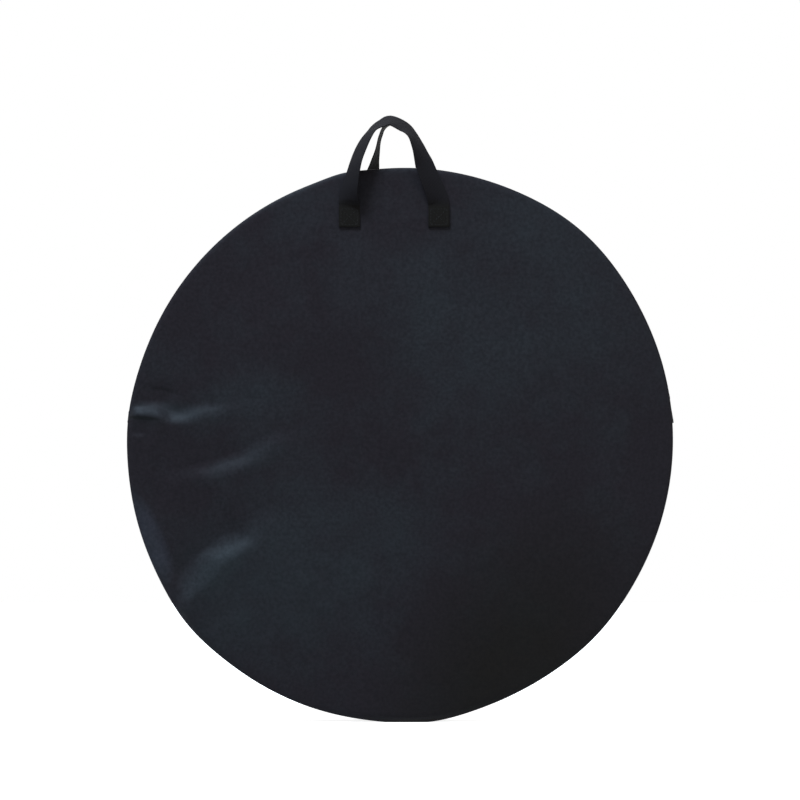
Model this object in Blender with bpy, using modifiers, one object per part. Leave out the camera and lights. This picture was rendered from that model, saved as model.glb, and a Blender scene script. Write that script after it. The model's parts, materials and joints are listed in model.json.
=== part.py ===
"""A soft round bag for one bicycle wheel, with two webbing handles and a zip over its upper half.

Run it with blender --background --python part.py, or from Blender's text editor.
Metres, +Z up. The bag stands on the flat of its base and faces -Y, and the origin is on the floor
below its middle. Angles round the bag are seen from the front: 0 is its right side and 90 its top.
"""

import math

import bmesh
import bpy
from mathutils import Vector

# Outline of the two round panels
RIM_RADIUS = 0.3665
RIM_LEAN = 0.0041  # the slack cloth reaches this much further along a leaning axis
RIM_LEAN_ANGLE = math.radians(66.0)
RIM_BULGES = (  # and bulges here: at this angle, this far, this widely
    (math.radians(50.0), 0.0039, math.radians(14.0)),
    (math.radians(174.0), 0.0018, math.radians(9.0)),
    (math.radians(220.0), 0.0030, math.radians(9.0)),
    (math.radians(276.0), 0.0036, math.radians(9.0)),
    (math.radians(316.0), 0.0018, math.radians(10.0)),
)
BASE_SAG = 0.0012  # the floor presses the lowest place of the outline flat this far
BASE_PRESS = 0.0024  # and cloth that is this near the floor lies on it

# Section of the panels, from the outside in
SEAM_HALF = 0.020  # half the width of the side wall, from seam to seam
CROWN = 0.012  # how far a panel stands out at its middle
ROLL_DEPTH = 0.0025  # the panel's rounded edge beside the seam
ROLL_LENGTH = 0.008
CLOTH = 0.0010
PADDING = 0.0030
LINING = 0.0008
LAYER_GAP = 0.0003
EDGE_INSET = 0.012  # padding and lining stop this far inside the seam
BINDING_WIDTH = 0.009
BINDING = 0.0022
HUB_PATCH_RADIUS = 0.060
HUB_PATCH = 0.0015

# Where the unzipped front folds down
FOLD_HEIGHT = 0.075  # over the panels' centre
FOLD_CLEARANCE = 0.0006  # the fold's axis lies this far in front of the cloth

# Zip: a round arc of its own, a little inside the two seams
ZIP_SET_IN = 0.0090
ZIP_SHIFT_X = 0.0025
ZIP_SHIFT_Z = 0.0035
ZIP_FLAT = 0.007  # the tape is level this far to each side of the zip's middle
WALL_SHOULDER = 0.017  # and rises to the seam's radius by here
ZIP_PAST_FOLD = 0.033  # arc of zip below the fold at each end
RECESS_FADE = math.radians(20.0)
ZIP_TAPE = 0.0008
COIL_PARTING = 0.0012  # from the zip's middle to each row of coil
COIL_WIDTH = 0.0028
COIL_HEIGHT = 0.0018
STOP_LENGTH = 0.0035
END_TAB_LENGTH = 0.016
END_TAB_OVERLAP = 0.005  # how much of the tab lies over the zip
END_TAB_LIFT = 0.0006  # from the wall's cloth to the tab

# Slider and its pull tab
SLIDER_LENGTH = 0.018
SLIDER_CLEARANCE = 0.0005
SLIDER_PLATE = 0.0010
SLIDER_BEVEL = 0.0004
PARK_GAP = 0.003  # the parked slider stops this far short of the fold
POST_WIDTH = 0.0014
POST_LENGTH = 0.005
BRIDGE_ROOM = 0.0024
BRIDGE_PLATE = 0.0010
BRIDGE_WIDTH = 0.003
BRIDGE_LENGTH = 0.009
TAB_PLATE = 0.0012
TAB_WIDTH = 0.0085
TAB_LENGTH = 0.036
TAB_BAR = 0.0016
TAB_EYE_LENGTH = 0.0054
TAB_HOLE_RADIUS = 0.0018
TAB_HOLE_FROM_END = 0.005
EYE_CLEARANCE = 0.0006

# Handles: webbing sewn flat to each panel, with a free loop above
WEBBING_WIDTH = 0.029
WEBBING = 0.0020
WEBBING_LAY = 0.0005  # from the panel to the webbing's inner face
HANDLE_X = -0.0084
HANDLE_SPAN = 0.1192
HANDLE_DROP = 0.0535  # from the top of the rim down to where the loop comes free
SEWN_LENGTH = 0.027
LOOP_START = 0.004  # the loop leaves its seam straight up for this long
LOOP_HEIGHT = 0.1135
LOOP_PARTING = 0.009  # from the bag's middle plane to the nearer edge of each loop
HANDLE_CLEARANCE = 0.0004

# How finely round things are drawn
RIM_STEP = math.radians(6.0)
ZIP_STEP = math.radians(3.0)
PATCH_STEPS = 24
LOOP_PARTS = 3  # pieces drawn between two places of a loop
PANEL_RING_SHARES = (0.3, 0.6, 0.82)
WELD = 0.000001

# Places along each loop, as (across / HANDLE_SPAN, up / LOOP_HEIGHT, nearer edge's way out to the
# panel's face, turn of the webbing / a quarter turn), from the left end to the right one
FRONT_LOOP_SHARES = (
    (-0.500, 0.000, 1.00, 0.00),
    (-0.492, 0.115, 1.00, 0.22),
    (-0.472, 0.250, 0.99, 0.38),
    (-0.440, 0.425, 0.95, 0.48),
    (-0.403, 0.550, 0.78, 0.56),
    (-0.357, 0.680, 0.56, 0.62),
    (-0.290, 0.810, 0.36, 0.72),
    (-0.190, 0.925, 0.16, 0.76),
    (-0.040, 0.990, 0.02, 0.70),
    (0.105, 0.932, 0.10, 0.66),
    (0.205, 0.822, 0.26, 0.62),
    (0.262, 0.700, 0.44, 0.60),
    (0.307, 0.575, 0.66, 0.54),
    (0.352, 0.455, 0.86, 0.42),
    (0.415, 0.310, 0.98, 0.32),
    (0.472, 0.140, 1.00, 0.18),
    (0.500, 0.000, 1.00, 0.00),
)
REAR_LOOP_SHARES = (
    (-0.500, 0.000, 1.00, 0.00),
    (-0.455, 0.130, 1.00, 0.22),
    (-0.352, 0.270, 0.99, 0.40),
    (-0.226, 0.430, 0.92, 0.60),
    (-0.196, 0.600, 0.70, 0.82),
    (-0.167, 0.765, 0.46, 0.95),
    (-0.126, 0.900, 0.20, 0.95),
    (-0.020, 1.000, 0.02, 0.92),
    (0.140, 0.955, 0.10, 0.90),
    (0.240, 0.815, 0.30, 0.86),
    (0.277, 0.690, 0.50, 0.78),
    (0.312, 0.560, 0.72, 0.66),
    (0.358, 0.430, 0.90, 0.50),
    (0.430, 0.270, 0.99, 0.32),
    (0.490, 0.120, 1.00, 0.18),
    (0.500, 0.000, 1.00, 0.00),
)

CLOTH_BLACK = (0.018, 0.020, 0.025)
WEBBING_BLACK = (0.015, 0.016, 0.018)
LINING_GREY = (0.045, 0.048, 0.052)
FOAM_GREY = (0.30, 0.31, 0.32)
ZIP_BLACK = (0.010, 0.010, 0.011)
METAL_BLACK = (0.030, 0.031, 0.033)
PATCH_BLACK = (0.022, 0.022, 0.023)


TOP = math.radians(90.0)
BOTTOM = math.radians(270.0)
FULL_TURN = math.radians(360.0)
HALF_TURN = math.radians(180.0)


def rim_reach(angle):
    """The seam's distance from the panels' centre."""
    reach = RIM_RADIUS + RIM_LEAN * math.cos(2 * (angle - RIM_LEAN_ANGLE))
    for middle, height, spread in RIM_BULGES:
        past = (angle - middle + HALF_TURN) % FULL_TURN - HALF_TURN
        reach += height * math.exp(-((past / spread) ** 2))
    return reach


RIM_CENTRE_Z = rim_reach(BOTTOM) - BASE_SAG
RIM_TOP = RIM_CENTRE_Z + rim_reach(TOP)
FOLD_Z = RIM_CENTRE_Z + FOLD_HEIGHT

ZIP_RADIUS = RIM_RADIUS - ZIP_SET_IN
ZIP_Z = RIM_CENTRE_Z + ZIP_SHIFT_Z
FOLD_ANGLE = math.asin((FOLD_Z - ZIP_Z) / ZIP_RADIUS)
ZIP_END = FOLD_ANGLE - ZIP_PAST_FOLD / ZIP_RADIUS
PARK_ANGLE = FOLD_ANGLE - (SLIDER_LENGTH / 2 + PARK_GAP) / ZIP_RADIUS
COIL_END = PARK_ANGLE - (SLIDER_LENGTH / 2) / ZIP_RADIUS
COIL_OUTER = COIL_PARTING + COIL_WIDTH
COIL_TOP = LAYER_GAP + COIL_HEIGHT
WALL_EDGE = SEAM_HALF - LAYER_GAP


def panel_depth(radius):
    """How far a panel's outer face lies from the bag's middle plane, at this distance from its centre."""
    inset = min((RIM_RADIUS - radius) / ROLL_LENGTH, 1.0)
    roll = ROLL_DEPTH * math.sqrt(max(1.0 - (1.0 - inset) ** 2, 0.0))
    return SEAM_HALF + CLOTH + roll + CROWN * (1.0 - (radius / RIM_RADIUS) ** 2)


FOLD_Y = -(panel_depth(FOLD_HEIGHT) + FOLD_CLEARANCE)
SEWN_TOP = RIM_TOP - HANDLE_DROP
SEWN_MIDDLE_RADIUS = math.hypot(HANDLE_SPAN / 2, SEWN_TOP - RIM_CENTRE_Z)
HANDLE_FACE = panel_depth(SEWN_MIDDLE_RADIUS) + WEBBING_LAY
HANDLE_AXIS_DEPTH = HANDLE_FACE + WEBBING + HANDLE_CLEARANCE
PIVOT_HEIGHT = COIL_TOP + SLIDER_CLEARANCE + SLIDER_PLATE + BRIDGE_ROOM / 2


def over_floor(z, inset):
    """This height, or the floor's for what lies on it this far inside the cloth."""
    return z if z > inset + BASE_PRESS else inset


def rim_point(angle, inset):
    """A point of the leaning, flat-bottomed outline, this far inside the seam, as (x, z)."""
    reach = rim_reach(angle) - inset
    return reach * math.cos(angle), over_floor(RIM_CENTRE_Z + reach * math.sin(angle), inset)


def zip_point(angle, inset):
    """A point of the zip's own arc, this far inside the tape's outer face, as (x, z)."""
    reach = ZIP_RADIUS - inset
    return ZIP_SHIFT_X + reach * math.cos(angle), ZIP_Z + reach * math.sin(angle)


def recess_share(angle, depth):
    """How much the side wall follows the zip's arc and not the rim's, from 0 to 1."""
    angle = angle % FULL_TURN
    past = max(ZIP_END - angle, angle - (HALF_TURN - ZIP_END), 0.0)
    if angle > BOTTOM:
        past = ZIP_END + FULL_TURN - angle
    along = max(1.0 - past / RECESS_FADE, 0.0)
    across = (WALL_SHOULDER - abs(depth)) / (WALL_SHOULDER - ZIP_FLAT)
    across = min(max(across, 0.0), 1.0)
    return along * across * across * (3.0 - 2.0 * across)


def settle_panel(point):
    """Moves a point of a plain turned disc to the bag's outline."""
    radius = math.hypot(point.x, point.z)
    angle = math.atan2(point.z, point.x)
    reach = radius * rim_reach(angle) / RIM_RADIUS
    z = over_floor(RIM_CENTRE_Z + reach * math.sin(angle), RIM_RADIUS - radius)
    return Vector((reach * math.cos(angle), point.y, z))


def settle_wall(point):
    """Moves a point of a plain turned band to the side wall, where it follows the rim or the zip."""
    inset = RIM_RADIUS - math.hypot(point.x, point.z)
    angle = math.atan2(point.z, point.x)
    share = recess_share(angle, point.y)
    rim_x, rim_z = rim_point(angle, inset)
    zip_x, zip_z = zip_point(angle, inset)
    return Vector((rim_x + share * (zip_x - rim_x), point.y, rim_z + share * (zip_z - rim_z)))


def clear_scene():
    for old in list(bpy.data.objects):
        bpy.data.objects.remove(old, do_unlink=True)


def collection(name, shown=True):
    made = bpy.data.collections.new(name)
    made.hide_render = not shown
    bpy.context.scene.collection.children.link(made)
    return made


def material(name, colour, roughness, metallic=0.0):
    made = bpy.data.materials.new(name)
    made.use_nodes = True
    shader = made.node_tree.nodes["Principled BSDF"]
    shader.inputs["Base Color"].default_value = (*colour, 1.0)
    shader.inputs["Roughness"].default_value = roughness
    shader.inputs["Metallic"].default_value = metallic
    made.diffuse_color = (*colour, 1.0)
    return made


def empty(name, location, rotation_y=0.0):
    """An empty that carries what moves about its place."""
    made = bpy.data.objects.new(name, None)
    made.location = location
    made.rotation_euler = (0.0, rotation_y, 0.0)
    bag_parts.objects.link(made)
    return made


def carry(obj, parent):
    """Parents an object that is already in place, so that its origin is the parent's."""
    obj.parent = parent
    bpy.context.view_layer.update()
    obj.matrix_parent_inverse = parent.matrix_world.inverted()
    return obj


def add_object(name, bm, look, group):
    mesh = bpy.data.meshes.new(name)
    bm.to_mesh(mesh)
    bm.free()
    made = bpy.data.objects.new(name, mesh)
    mesh.materials.append(look)
    group.objects.link(made)
    mesh.shade_smooth()
    mesh.set_sharp_from_angle(angle=math.radians(35.0))
    return made


def thicken(obj, thickness, offset):
    """Gives an open sheet its thickness: offset -1 builds it inwards, and 0 to both sides."""
    solid = obj.modifiers.new("thickness", "SOLIDIFY")
    solid.thickness = thickness
    solid.offset = offset
    solid.use_rim = True
    return obj


def turned_sheet(name, profile, start, end, step, settle, outward, thickness, look, keep=None):
    """A sheet turned about the bag's middle from a profile of (radius, y), laid on the real outline.

    outward gives the way its outer face looks at a point, and keep is "above" or "below" the fold.
    """
    bm = bmesh.new()
    profile_points = [Vector((r * math.cos(start), y, r * math.sin(start))) for r, y in profile]
    points = [bm.verts.new(p) for p in profile_points]
    edges = [bm.edges.new(pair) for pair in zip(points, points[1:])]
    steps = max(round((end - start) / step), 1)
    whole = math.isclose(end - start, FULL_TURN)
    bmesh.ops.spin(
        bm,
        geom=points + edges,
        cent=(0.0, 0.0, 0.0),
        axis=(0.0, -1.0, 0.0),
        angle=end - start,
        steps=steps,
        use_merge=whole,
    )
    bmesh.ops.remove_doubles(bm, verts=bm.verts[:], dist=WELD)
    for vert in bm.verts:
        vert.co = settle(vert.co)
    if keep:
        side = 1.0 if keep == "above" else -1.0
        bmesh.ops.bisect_plane(
            bm,
            geom=bm.verts[:] + bm.edges[:] + bm.faces[:],
            dist=WELD,
            plane_co=(0.0, 0.0, FOLD_Z + side * LAYER_GAP / 2),
            plane_no=(0.0, 0.0, side),
            clear_inner=True,
        )
    bmesh.ops.recalc_face_normals(bm, faces=bm.faces[:])
    bm.faces.ensure_lookup_table()
    first = bm.faces[0]
    if first.normal.dot(outward(first.calc_center_median())) < 0:
        bmesh.ops.reverse_faces(bm, faces=bm.faces[:])
    return thicken(add_object(name, bm, look, bag_parts), thickness, -1.0)


def panel_layer(name, side, sink, thickness, to_edge, look, keep=None):
    """One layer of a round panel: side is -1 in front and 1 behind, sink its depth below the outer face."""
    edge = RIM_RADIUS - EDGE_INSET
    radii = [0.0] + [share * edge for share in PANEL_RING_SHARES] + [edge]
    if to_edge:
        radii += [RIM_RADIUS - ROLL_LENGTH, RIM_RADIUS - ROLL_LENGTH / 3, RIM_RADIUS]
    profile = [(radius, side * (panel_depth(radius) - sink)) for radius in radii]
    return turned_sheet(
        name, profile, 0.0, FULL_TURN, RIM_STEP, settle_panel, lambda at: Vector((0.0, side, 0.0)),
        thickness, look, keep
    )


def wall_band(name, rows, inset, start, end, step, thickness, look, keep=None):
    """A band of the side wall: rows are its places across the wall, inset its depth inside the seam."""
    profile = [(RIM_RADIUS - inset, row) for row in rows]
    return turned_sheet(
        name, profile, start, end, step, settle_wall,
        lambda at: Vector((at.x, 0.0, at.z - RIM_CENTRE_Z)), thickness, look, keep
    )


def make_panels():
    """The round front and back, each of cloth, padding and lining; the front is cut at its fold."""
    padding_sink = CLOTH + LAYER_GAP
    lining_sink = padding_sink + PADDING + LAYER_GAP
    for prefix, side, keep in (("back", 1, None), ("front", -1, "below"), ("flap", -1, "above")):
        panel_layer(f"{prefix}_panel", side, 0.0, CLOTH, True, cloth, keep)
        panel_layer(f"{prefix}_padding", side, padding_sink, PADDING, False, foam, keep)
        panel_layer(f"{prefix}_lining", side, lining_sink, LINING, False, lining, keep)
    patch_sink = lining_sink + LINING + LAYER_GAP
    for name, side in (("hub_patch_front", -1), ("hub_patch_back", 1)):
        radii = (0.0, HUB_PATCH_RADIUS / 2, HUB_PATCH_RADIUS)
        profile = [(radius, side * (panel_depth(radius) - patch_sink)) for radius in radii]
        turned_sheet(
            name, profile, 0.0, FULL_TURN, FULL_TURN / PATCH_STEPS, settle_panel,
            lambda at, side=side: Vector((0.0, side, 0.0)), HUB_PATCH, patch_cloth
        )


def make_bindings():
    """Tape that binds the raw edges of the two seams, inside the bag."""
    outer = RIM_RADIUS - CLOTH - LAYER_GAP
    for name, side, keep in (
        ("back_binding", 1, None),
        ("front_binding", -1, "below"),
        ("flap_binding", -1, "above"),
    ):
        profile = [(outer, side * WALL_EDGE), (outer - BINDING_WIDTH, side * WALL_EDGE)]
        turned_sheet(
            name, profile, 0.0, FULL_TURN, RIM_STEP, settle_panel,
            lambda at, side=side: Vector((0.0, side, 0.0)), BINDING, webbing, keep
        )


def make_gusset():
    """The side wall round the lower half, and its lining."""
    start, end = HALF_TURN - ZIP_END, FULL_TURN + ZIP_END
    rows = (-WALL_EDGE, -WALL_SHOULDER, -ZIP_FLAT, ZIP_FLAT, WALL_SHOULDER, WALL_EDGE)
    wall_band("gusset", rows, 0.0, start, end, RIM_STEP, CLOTH, cloth)
    wall_band("gusset_lining", rows[1:-1], CLOTH + LAYER_GAP, start, end, RIM_STEP, LINING, lining)


def zip_parts(side, name, start, end, keep, coil_start, coil_end):
    """One run of half a zip: its tape, and the row of coil on the tape's edge."""
    tape_rows = [side * row for row in (WALL_EDGE, WALL_SHOULDER, ZIP_FLAT, COIL_PARTING)]
    coil_rows = [side * row for row in (COIL_PARTING, COIL_OUTER)]
    tape, coil = wall_band, wall_band
    tape(name.format("tape"), tape_rows, 0.0, start, end, ZIP_STEP, ZIP_TAPE, tape_cloth, keep)
    coil(name.format("coil"), coil_rows, -COIL_TOP, coil_start, coil_end, ZIP_STEP, COIL_HEIGHT, coil_nylon, keep)


def make_zip():
    """Tapes and coils: the back half whole, the front half cut at the fold into flap and two ends."""
    gap = LAYER_GAP / ZIP_RADIUS
    start, end = ZIP_END + gap, HALF_TURN - ZIP_END - gap
    coil_start, coil_end = COIL_END, HALF_TURN - COIL_END
    past = FOLD_ANGLE + 2 * ZIP_STEP
    zip_parts(1, "back_zip_{}", start, end, None, coil_start, coil_end)
    zip_parts(-1, "front_zip_{}", start, end, "above", coil_start, coil_end)
    zip_parts(-1, "right_zip_end_{}", start, past, "below", coil_start, past)
    zip_parts(-1, "left_zip_end_{}", HALF_TURN - past, end, "below", HALF_TURN - past, coil_end)
    stop_gap = LAYER_GAP / ZIP_RADIUS
    stop = STOP_LENGTH / ZIP_RADIUS
    for name, rows in (
        ("zip_top_stop_front", (-COIL_OUTER, -COIL_PARTING)),
        ("zip_top_stop_back", (COIL_PARTING, COIL_OUTER)),
    ):
        first = COIL_END - stop_gap - stop
        wall_band(name, rows, -COIL_TOP, first, first + stop, ZIP_STEP, COIL_HEIGHT, black_metal)
    first = HALF_TURN - COIL_END + stop_gap
    wall_band("zip_bottom_stop", (-COIL_OUTER, COIL_OUTER), -COIL_TOP, first, first + stop, ZIP_STEP,
              COIL_HEIGHT, black_metal)


def make_end_tabs():
    """A folded tab of cloth over each end of the zip, where it meets the side wall."""
    rows = (-WALL_EDGE, -WALL_SHOULDER, -ZIP_FLAT, ZIP_FLAT, WALL_SHOULDER, WALL_EDGE)
    over, under = END_TAB_OVERLAP / RIM_RADIUS, (END_TAB_LENGTH - END_TAB_OVERLAP) / RIM_RADIUS
    inset = -(CLOTH + END_TAB_LIFT)
    step = (over + under) / 2
    wall_band("zip_end_tab_right", rows, inset, ZIP_END - under, ZIP_END + over, step, CLOTH, webbing)
    left = HALF_TURN - ZIP_END
    wall_band("zip_end_tab_left", rows, inset, left - over, left + under, step, CLOTH, webbing)


def block(name, low, high, group, look):
    """A box between two corners, as a mesh cube."""
    bm = bmesh.new()
    bmesh.ops.create_cube(bm, size=1.0)
    low, high = Vector(low), Vector(high)
    size, middle = high - low, (high + low) / 2
    for vert in bm.verts:
        vert.co = Vector(a * b for a, b in zip(vert.co, size)) + middle
    return add_object(name, bm, look, group)


def unite(base, others):
    """Joins shapes that overlap into one body."""
    for other in others:
        other.hide_render = True
        other.display_type = "WIRE"
        join = base.modifiers.new("join", "BOOLEAN")
        join.operation = "UNION"
        join.solver = "EXACT"
        join.object = other
    return base


def make_slider(look):
    """The zip's slider: two plates, their flanges, the post between the rows and the tab's bridge.

    Its own +X points away from the bag, and +Z along the zip towards the top.
    """
    at = ZIP_RADIUS
    half_length = SLIDER_LENGTH / 2
    flange_inner = COIL_OUTER + SLIDER_CLEARANCE
    half_width = flange_inner + SLIDER_PLATE
    outer_low = at + COIL_TOP + SLIDER_CLEARANCE
    outer_high = outer_low + SLIDER_PLATE
    inner_high = at - ZIP_TAPE - SLIDER_CLEARANCE
    inner_low = inner_high - SLIDER_PLATE
    bite = SLIDER_PLATE / 2
    plate = block(
        "zip_slider", (outer_low, -half_width, -half_length), (outer_high, half_width, half_length), bag_parts, look
    )
    shapes = [
        block("slider_inner", (inner_low, -half_width, -half_length), (inner_high, half_width, half_length), cutters, look),
        block(
            "slider_post",
            (inner_low + bite, -POST_WIDTH / 2, -half_length + SLIDER_PLATE),
            (outer_low + bite, POST_WIDTH / 2, -half_length + SLIDER_PLATE + POST_LENGTH),
            cutters,
            look,
        ),
    ]
    for side in (-1, 1):
        rows = sorted((side * flange_inner, side * half_width))
        shapes.append(
            block(
                f"slider_flange_{side}",
                (at + SLIDER_CLEARANCE, rows[0], -half_length),
                (outer_low + bite, rows[1], half_length),
                cutters,
                look,
            )
        )
    leg = BRIDGE_PLATE
    bridge_low = outer_high + BRIDGE_ROOM
    half_bridge = BRIDGE_LENGTH / 2
    for end in (-1, 1):
        legs = sorted((end * half_bridge, end * (half_bridge - leg)))
        shapes.append(
            block(
                f"bridge_leg_{end}",
                (outer_high - bite, -BRIDGE_WIDTH / 2, legs[0]),
                (bridge_low + bite, BRIDGE_WIDTH / 2, legs[1]),
                cutters,
                look,
            )
        )
    shapes.append(
        block(
            "bridge_top",
            (bridge_low, -BRIDGE_WIDTH / 2, -half_bridge),
            (bridge_low + BRIDGE_PLATE, BRIDGE_WIDTH / 2, half_bridge),
            cutters,
            look,
        )
    )
    unite(plate, shapes)
    rounded = plate.modifiers.new("edges", "BEVEL")
    rounded.width = SLIDER_BEVEL
    rounded.segments = 1
    rounded.limit_method = "ANGLE"
    for obj in [plate, *shapes]:
        obj.parent = slider_centre
    return plate


def arc_points(centre, radius, start, end, steps):
    turn = (end - start) / steps
    return [
        (centre[0] + radius * math.cos(start + turn * i), centre[1] + radius * math.sin(start + turn * i))
        for i in range(steps + 1)
    ]


def make_pull_tab(look):
    """A flat tab with an eye round the slider's bridge. It hangs down, away from the zip's middle."""
    half, bar = TAB_WIDTH / 2, TAB_BAR / 2
    eye_half = BRIDGE_WIDTH / 2 + EYE_CLEARANCE
    eye_far = -(bar + TAB_EYE_LENGTH)
    end = -(TAB_LENGTH - half)
    outline = [(-half, bar), (half, bar)]
    outline += arc_points((0.0, end), half, 0.0, -HALF_TURN, 8)
    eye = [(-eye_half, -bar), (eye_half, -bar), (eye_half, eye_far), (-eye_half, eye_far)]
    hole = arc_points((0.0, -(TAB_LENGTH - TAB_HOLE_FROM_END)), TAB_HOLE_RADIUS, 0.0, FULL_TURN - FULL_TURN / 10, 9)
    curve = bpy.data.curves.new("pull_tab", "CURVE")
    curve.dimensions = "2D"
    curve.fill_mode = "BOTH"
    curve.extrude = TAB_PLATE / 2
    for loop in (outline, eye, hole):
        spline = curve.splines.new("POLY")
        spline.points.add(len(loop) - 1)
        for point, (across, along) in zip(spline.points, loop):
            point.co = (across, along, 0.0, 1.0)
        spline.use_cyclic_u = True
    curve.materials.append(look)
    tab = bpy.data.objects.new("pull_tab", curve)
    bag_parts.objects.link(tab)
    tab.rotation_euler = (math.radians(90.0), 0.0, math.radians(90.0))
    tab.parent = tab_pivot
    return tab


def ribbon(name, stations, look):
    """Webbing through stations of (middle, facing, run): a strip of the webbing's width, thickened."""
    bm = bmesh.new()
    pair = None
    for middle, facing, run in stations:
        across = facing.cross(run).normalized() * (WEBBING_WIDTH / 2)
        ends = (middle - across, middle + across)
        if pair is None:
            pair = [bm.verts.new(end) for end in ends]
            edge = bm.edges.new(pair)
            continue
        made = bmesh.ops.extrude_edge_only(bm, edges=[edge])["geom"]
        fresh = [item for item in made if isinstance(item, bmesh.types.BMVert)]
        edge = next(item for item in made if isinstance(item, bmesh.types.BMEdge) and set(item.verts) == set(fresh))
        for vert in fresh:
            nearest = min(range(2), key=lambda k: (vert.co - pair[k].co).length)
            vert.co = ends[nearest]
            vert.index = nearest
        pair = sorted(fresh, key=lambda v: v.index)
    bmesh.ops.recalc_face_normals(bm, faces=bm.faces[:])
    return thicken(add_object(name, bm, look, bag_parts), WEBBING, 0.0)


def smooth_path(rows, parts):
    """A Catmull-Rom curve through rows of numbers."""
    path = []
    for i in range(len(rows) - 1):
        a, b, c, d = (rows[min(max(k, 0), len(rows) - 1)] for k in (i - 1, i, i + 1, i + 2))
        for part in range(parts):
            t = part / parts
            path.append(
                tuple(
                    q + 0.5 * t * (r - p + t * (2 * p - 5 * q + 4 * r - s + t * (3 * (q - r) + s - p)))
                    for p, q, r, s in zip(a, b, c, d)
                )
            )
    path.append(tuple(rows[-1]))
    return path


def sewn_end(name, side, end, look):
    """The stretch of webbing that is sewn flat to a panel, on the left (-1) or right (1)."""
    x = HANDLE_X + end * HANDLE_SPAN / 2
    stations = []
    for z in (SEWN_TOP - SEWN_LENGTH, SEWN_TOP - SEWN_LENGTH / 2, SEWN_TOP - LAYER_GAP / 2):
        radius = math.hypot(x, z - RIM_CENTRE_Z)
        slope = 2 * CROWN / RIM_RADIUS**2
        facing = Vector((slope * x, side, slope * (z - RIM_CENTRE_Z))).normalized()
        depth = panel_depth(radius) + WEBBING_LAY + WEBBING / 2
        stations.append((Vector((x, side * depth, z)), facing, Vector((0.0, 0.0, 1.0))))
    return ribbon(name, stations, look)


def handle_loop(name, side, shares, look):
    """The free loop between the two sewn ends, turned so that its upper face looks outwards."""
    stations = []
    for across, up, out, turn in smooth_path(shares, LOOP_PARTS):
        angle = turn * TOP
        nearer = LOOP_PARTING + out * (HANDLE_FACE - LOOP_PARTING)
        depth = nearer + math.sin(angle) * WEBBING_WIDTH / 2 + WEBBING / 2
        z = SEWN_TOP + LOOP_START + up * LOOP_HEIGHT
        stations.append([Vector((HANDLE_X + across * HANDLE_SPAN, side * depth, z)), angle])
    for first, at in ((stations[0][0], 0), (stations[-1][0], len(stations) + 1)):
        stations.insert(at, [Vector((first.x, first.y, SEWN_TOP + LAYER_GAP / 2)), 0.0])
    placed = []
    last = len(stations) - 1
    for i, (middle, angle) in enumerate(stations):
        run = stations[min(i + 1, last)][0] - stations[max(i - 1, 0)][0]
        if i in (0, 1, last - 1, last):
            run = Vector((0.0, 0.0, 1.0 if i < 2 else -1.0))
        outwards = Vector((-run.z, 0.0, run.x)).normalized()
        facing = math.cos(angle) * Vector((0.0, side, 0.0)) + math.sin(angle) * outwards
        placed.append((middle, facing, run))
    return ribbon(name, placed, look)


clear_scene()
bag_parts = collection("wheel_bag")
cutters = collection("cutters", shown=False)

cloth = material("coated polyester cloth", CLOTH_BLACK, 0.55)
lining = material("nylon lining", LINING_GREY, 0.6)
foam = material("foam padding", FOAM_GREY, 0.9)
webbing = material("polypropylene webbing", WEBBING_BLACK, 0.65)
tape_cloth = material("zip tape", ZIP_BLACK, 0.8)
coil_nylon = material("nylon coil", ZIP_BLACK, 0.4)
patch_cloth = material("coated hub patch", PATCH_BLACK, 0.4)
black_metal = material("black painted zinc", METAL_BLACK, 0.35, 0.6)

flap_fold = empty("flap_fold", (0.0, FOLD_Y, FOLD_Z))
front_handle_hinge = empty("front_handle_hinge", (HANDLE_X, -HANDLE_AXIS_DEPTH, SEWN_TOP))
rear_handle_hinge = empty("rear_handle_hinge", (HANDLE_X, HANDLE_AXIS_DEPTH, SEWN_TOP))
slider_centre = empty("slider_centre", (ZIP_SHIFT_X, 0.0, ZIP_Z), -PARK_ANGLE)
tab_pivot = empty("tab_pivot", (ZIP_RADIUS + PIVOT_HEIGHT, 0.0, 0.0))
tab_pivot.parent = slider_centre

make_panels()
make_bindings()
make_gusset()
make_zip()
make_end_tabs()
make_slider(black_metal)
make_pull_tab(black_metal)
for end_name, end_side in (("left", -1), ("right", 1)):
    sewn_end(f"front_handle_end_{end_name}", -1, end_side, webbing)
    sewn_end(f"rear_handle_end_{end_name}", 1, end_side, webbing)
carry(handle_loop("front_handle", -1, FRONT_LOOP_SHARES, webbing), front_handle_hinge)
carry(handle_loop("rear_handle", 1, REAR_LOOP_SHARES, webbing), rear_handle_hinge)
for flap_name in (
    "flap_panel", "flap_padding", "flap_lining", "flap_binding", "front_zip_tape", "front_zip_coil",
    "front_handle_end_left", "front_handle_end_right"
):
    carry(bpy.data.objects[flap_name], flap_fold)
carry(front_handle_hinge, flap_fold)
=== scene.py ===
"""A slim round bag for one bicycle wheel: black coated cloth over padding, a zip round its upper half, two
webbing loops. Blender 4.5, laid out as an add-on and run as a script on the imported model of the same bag.

Metres, +Z up, the front faces -Y. Angles round the bag are seen from the front: 0 right, 90 top.
"""

import json
import math

import bmesh
import bpy
from bpy.props import FloatProperty, FloatVectorProperty, PointerProperty
from mathutils import Matrix, Vector, noise


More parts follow.
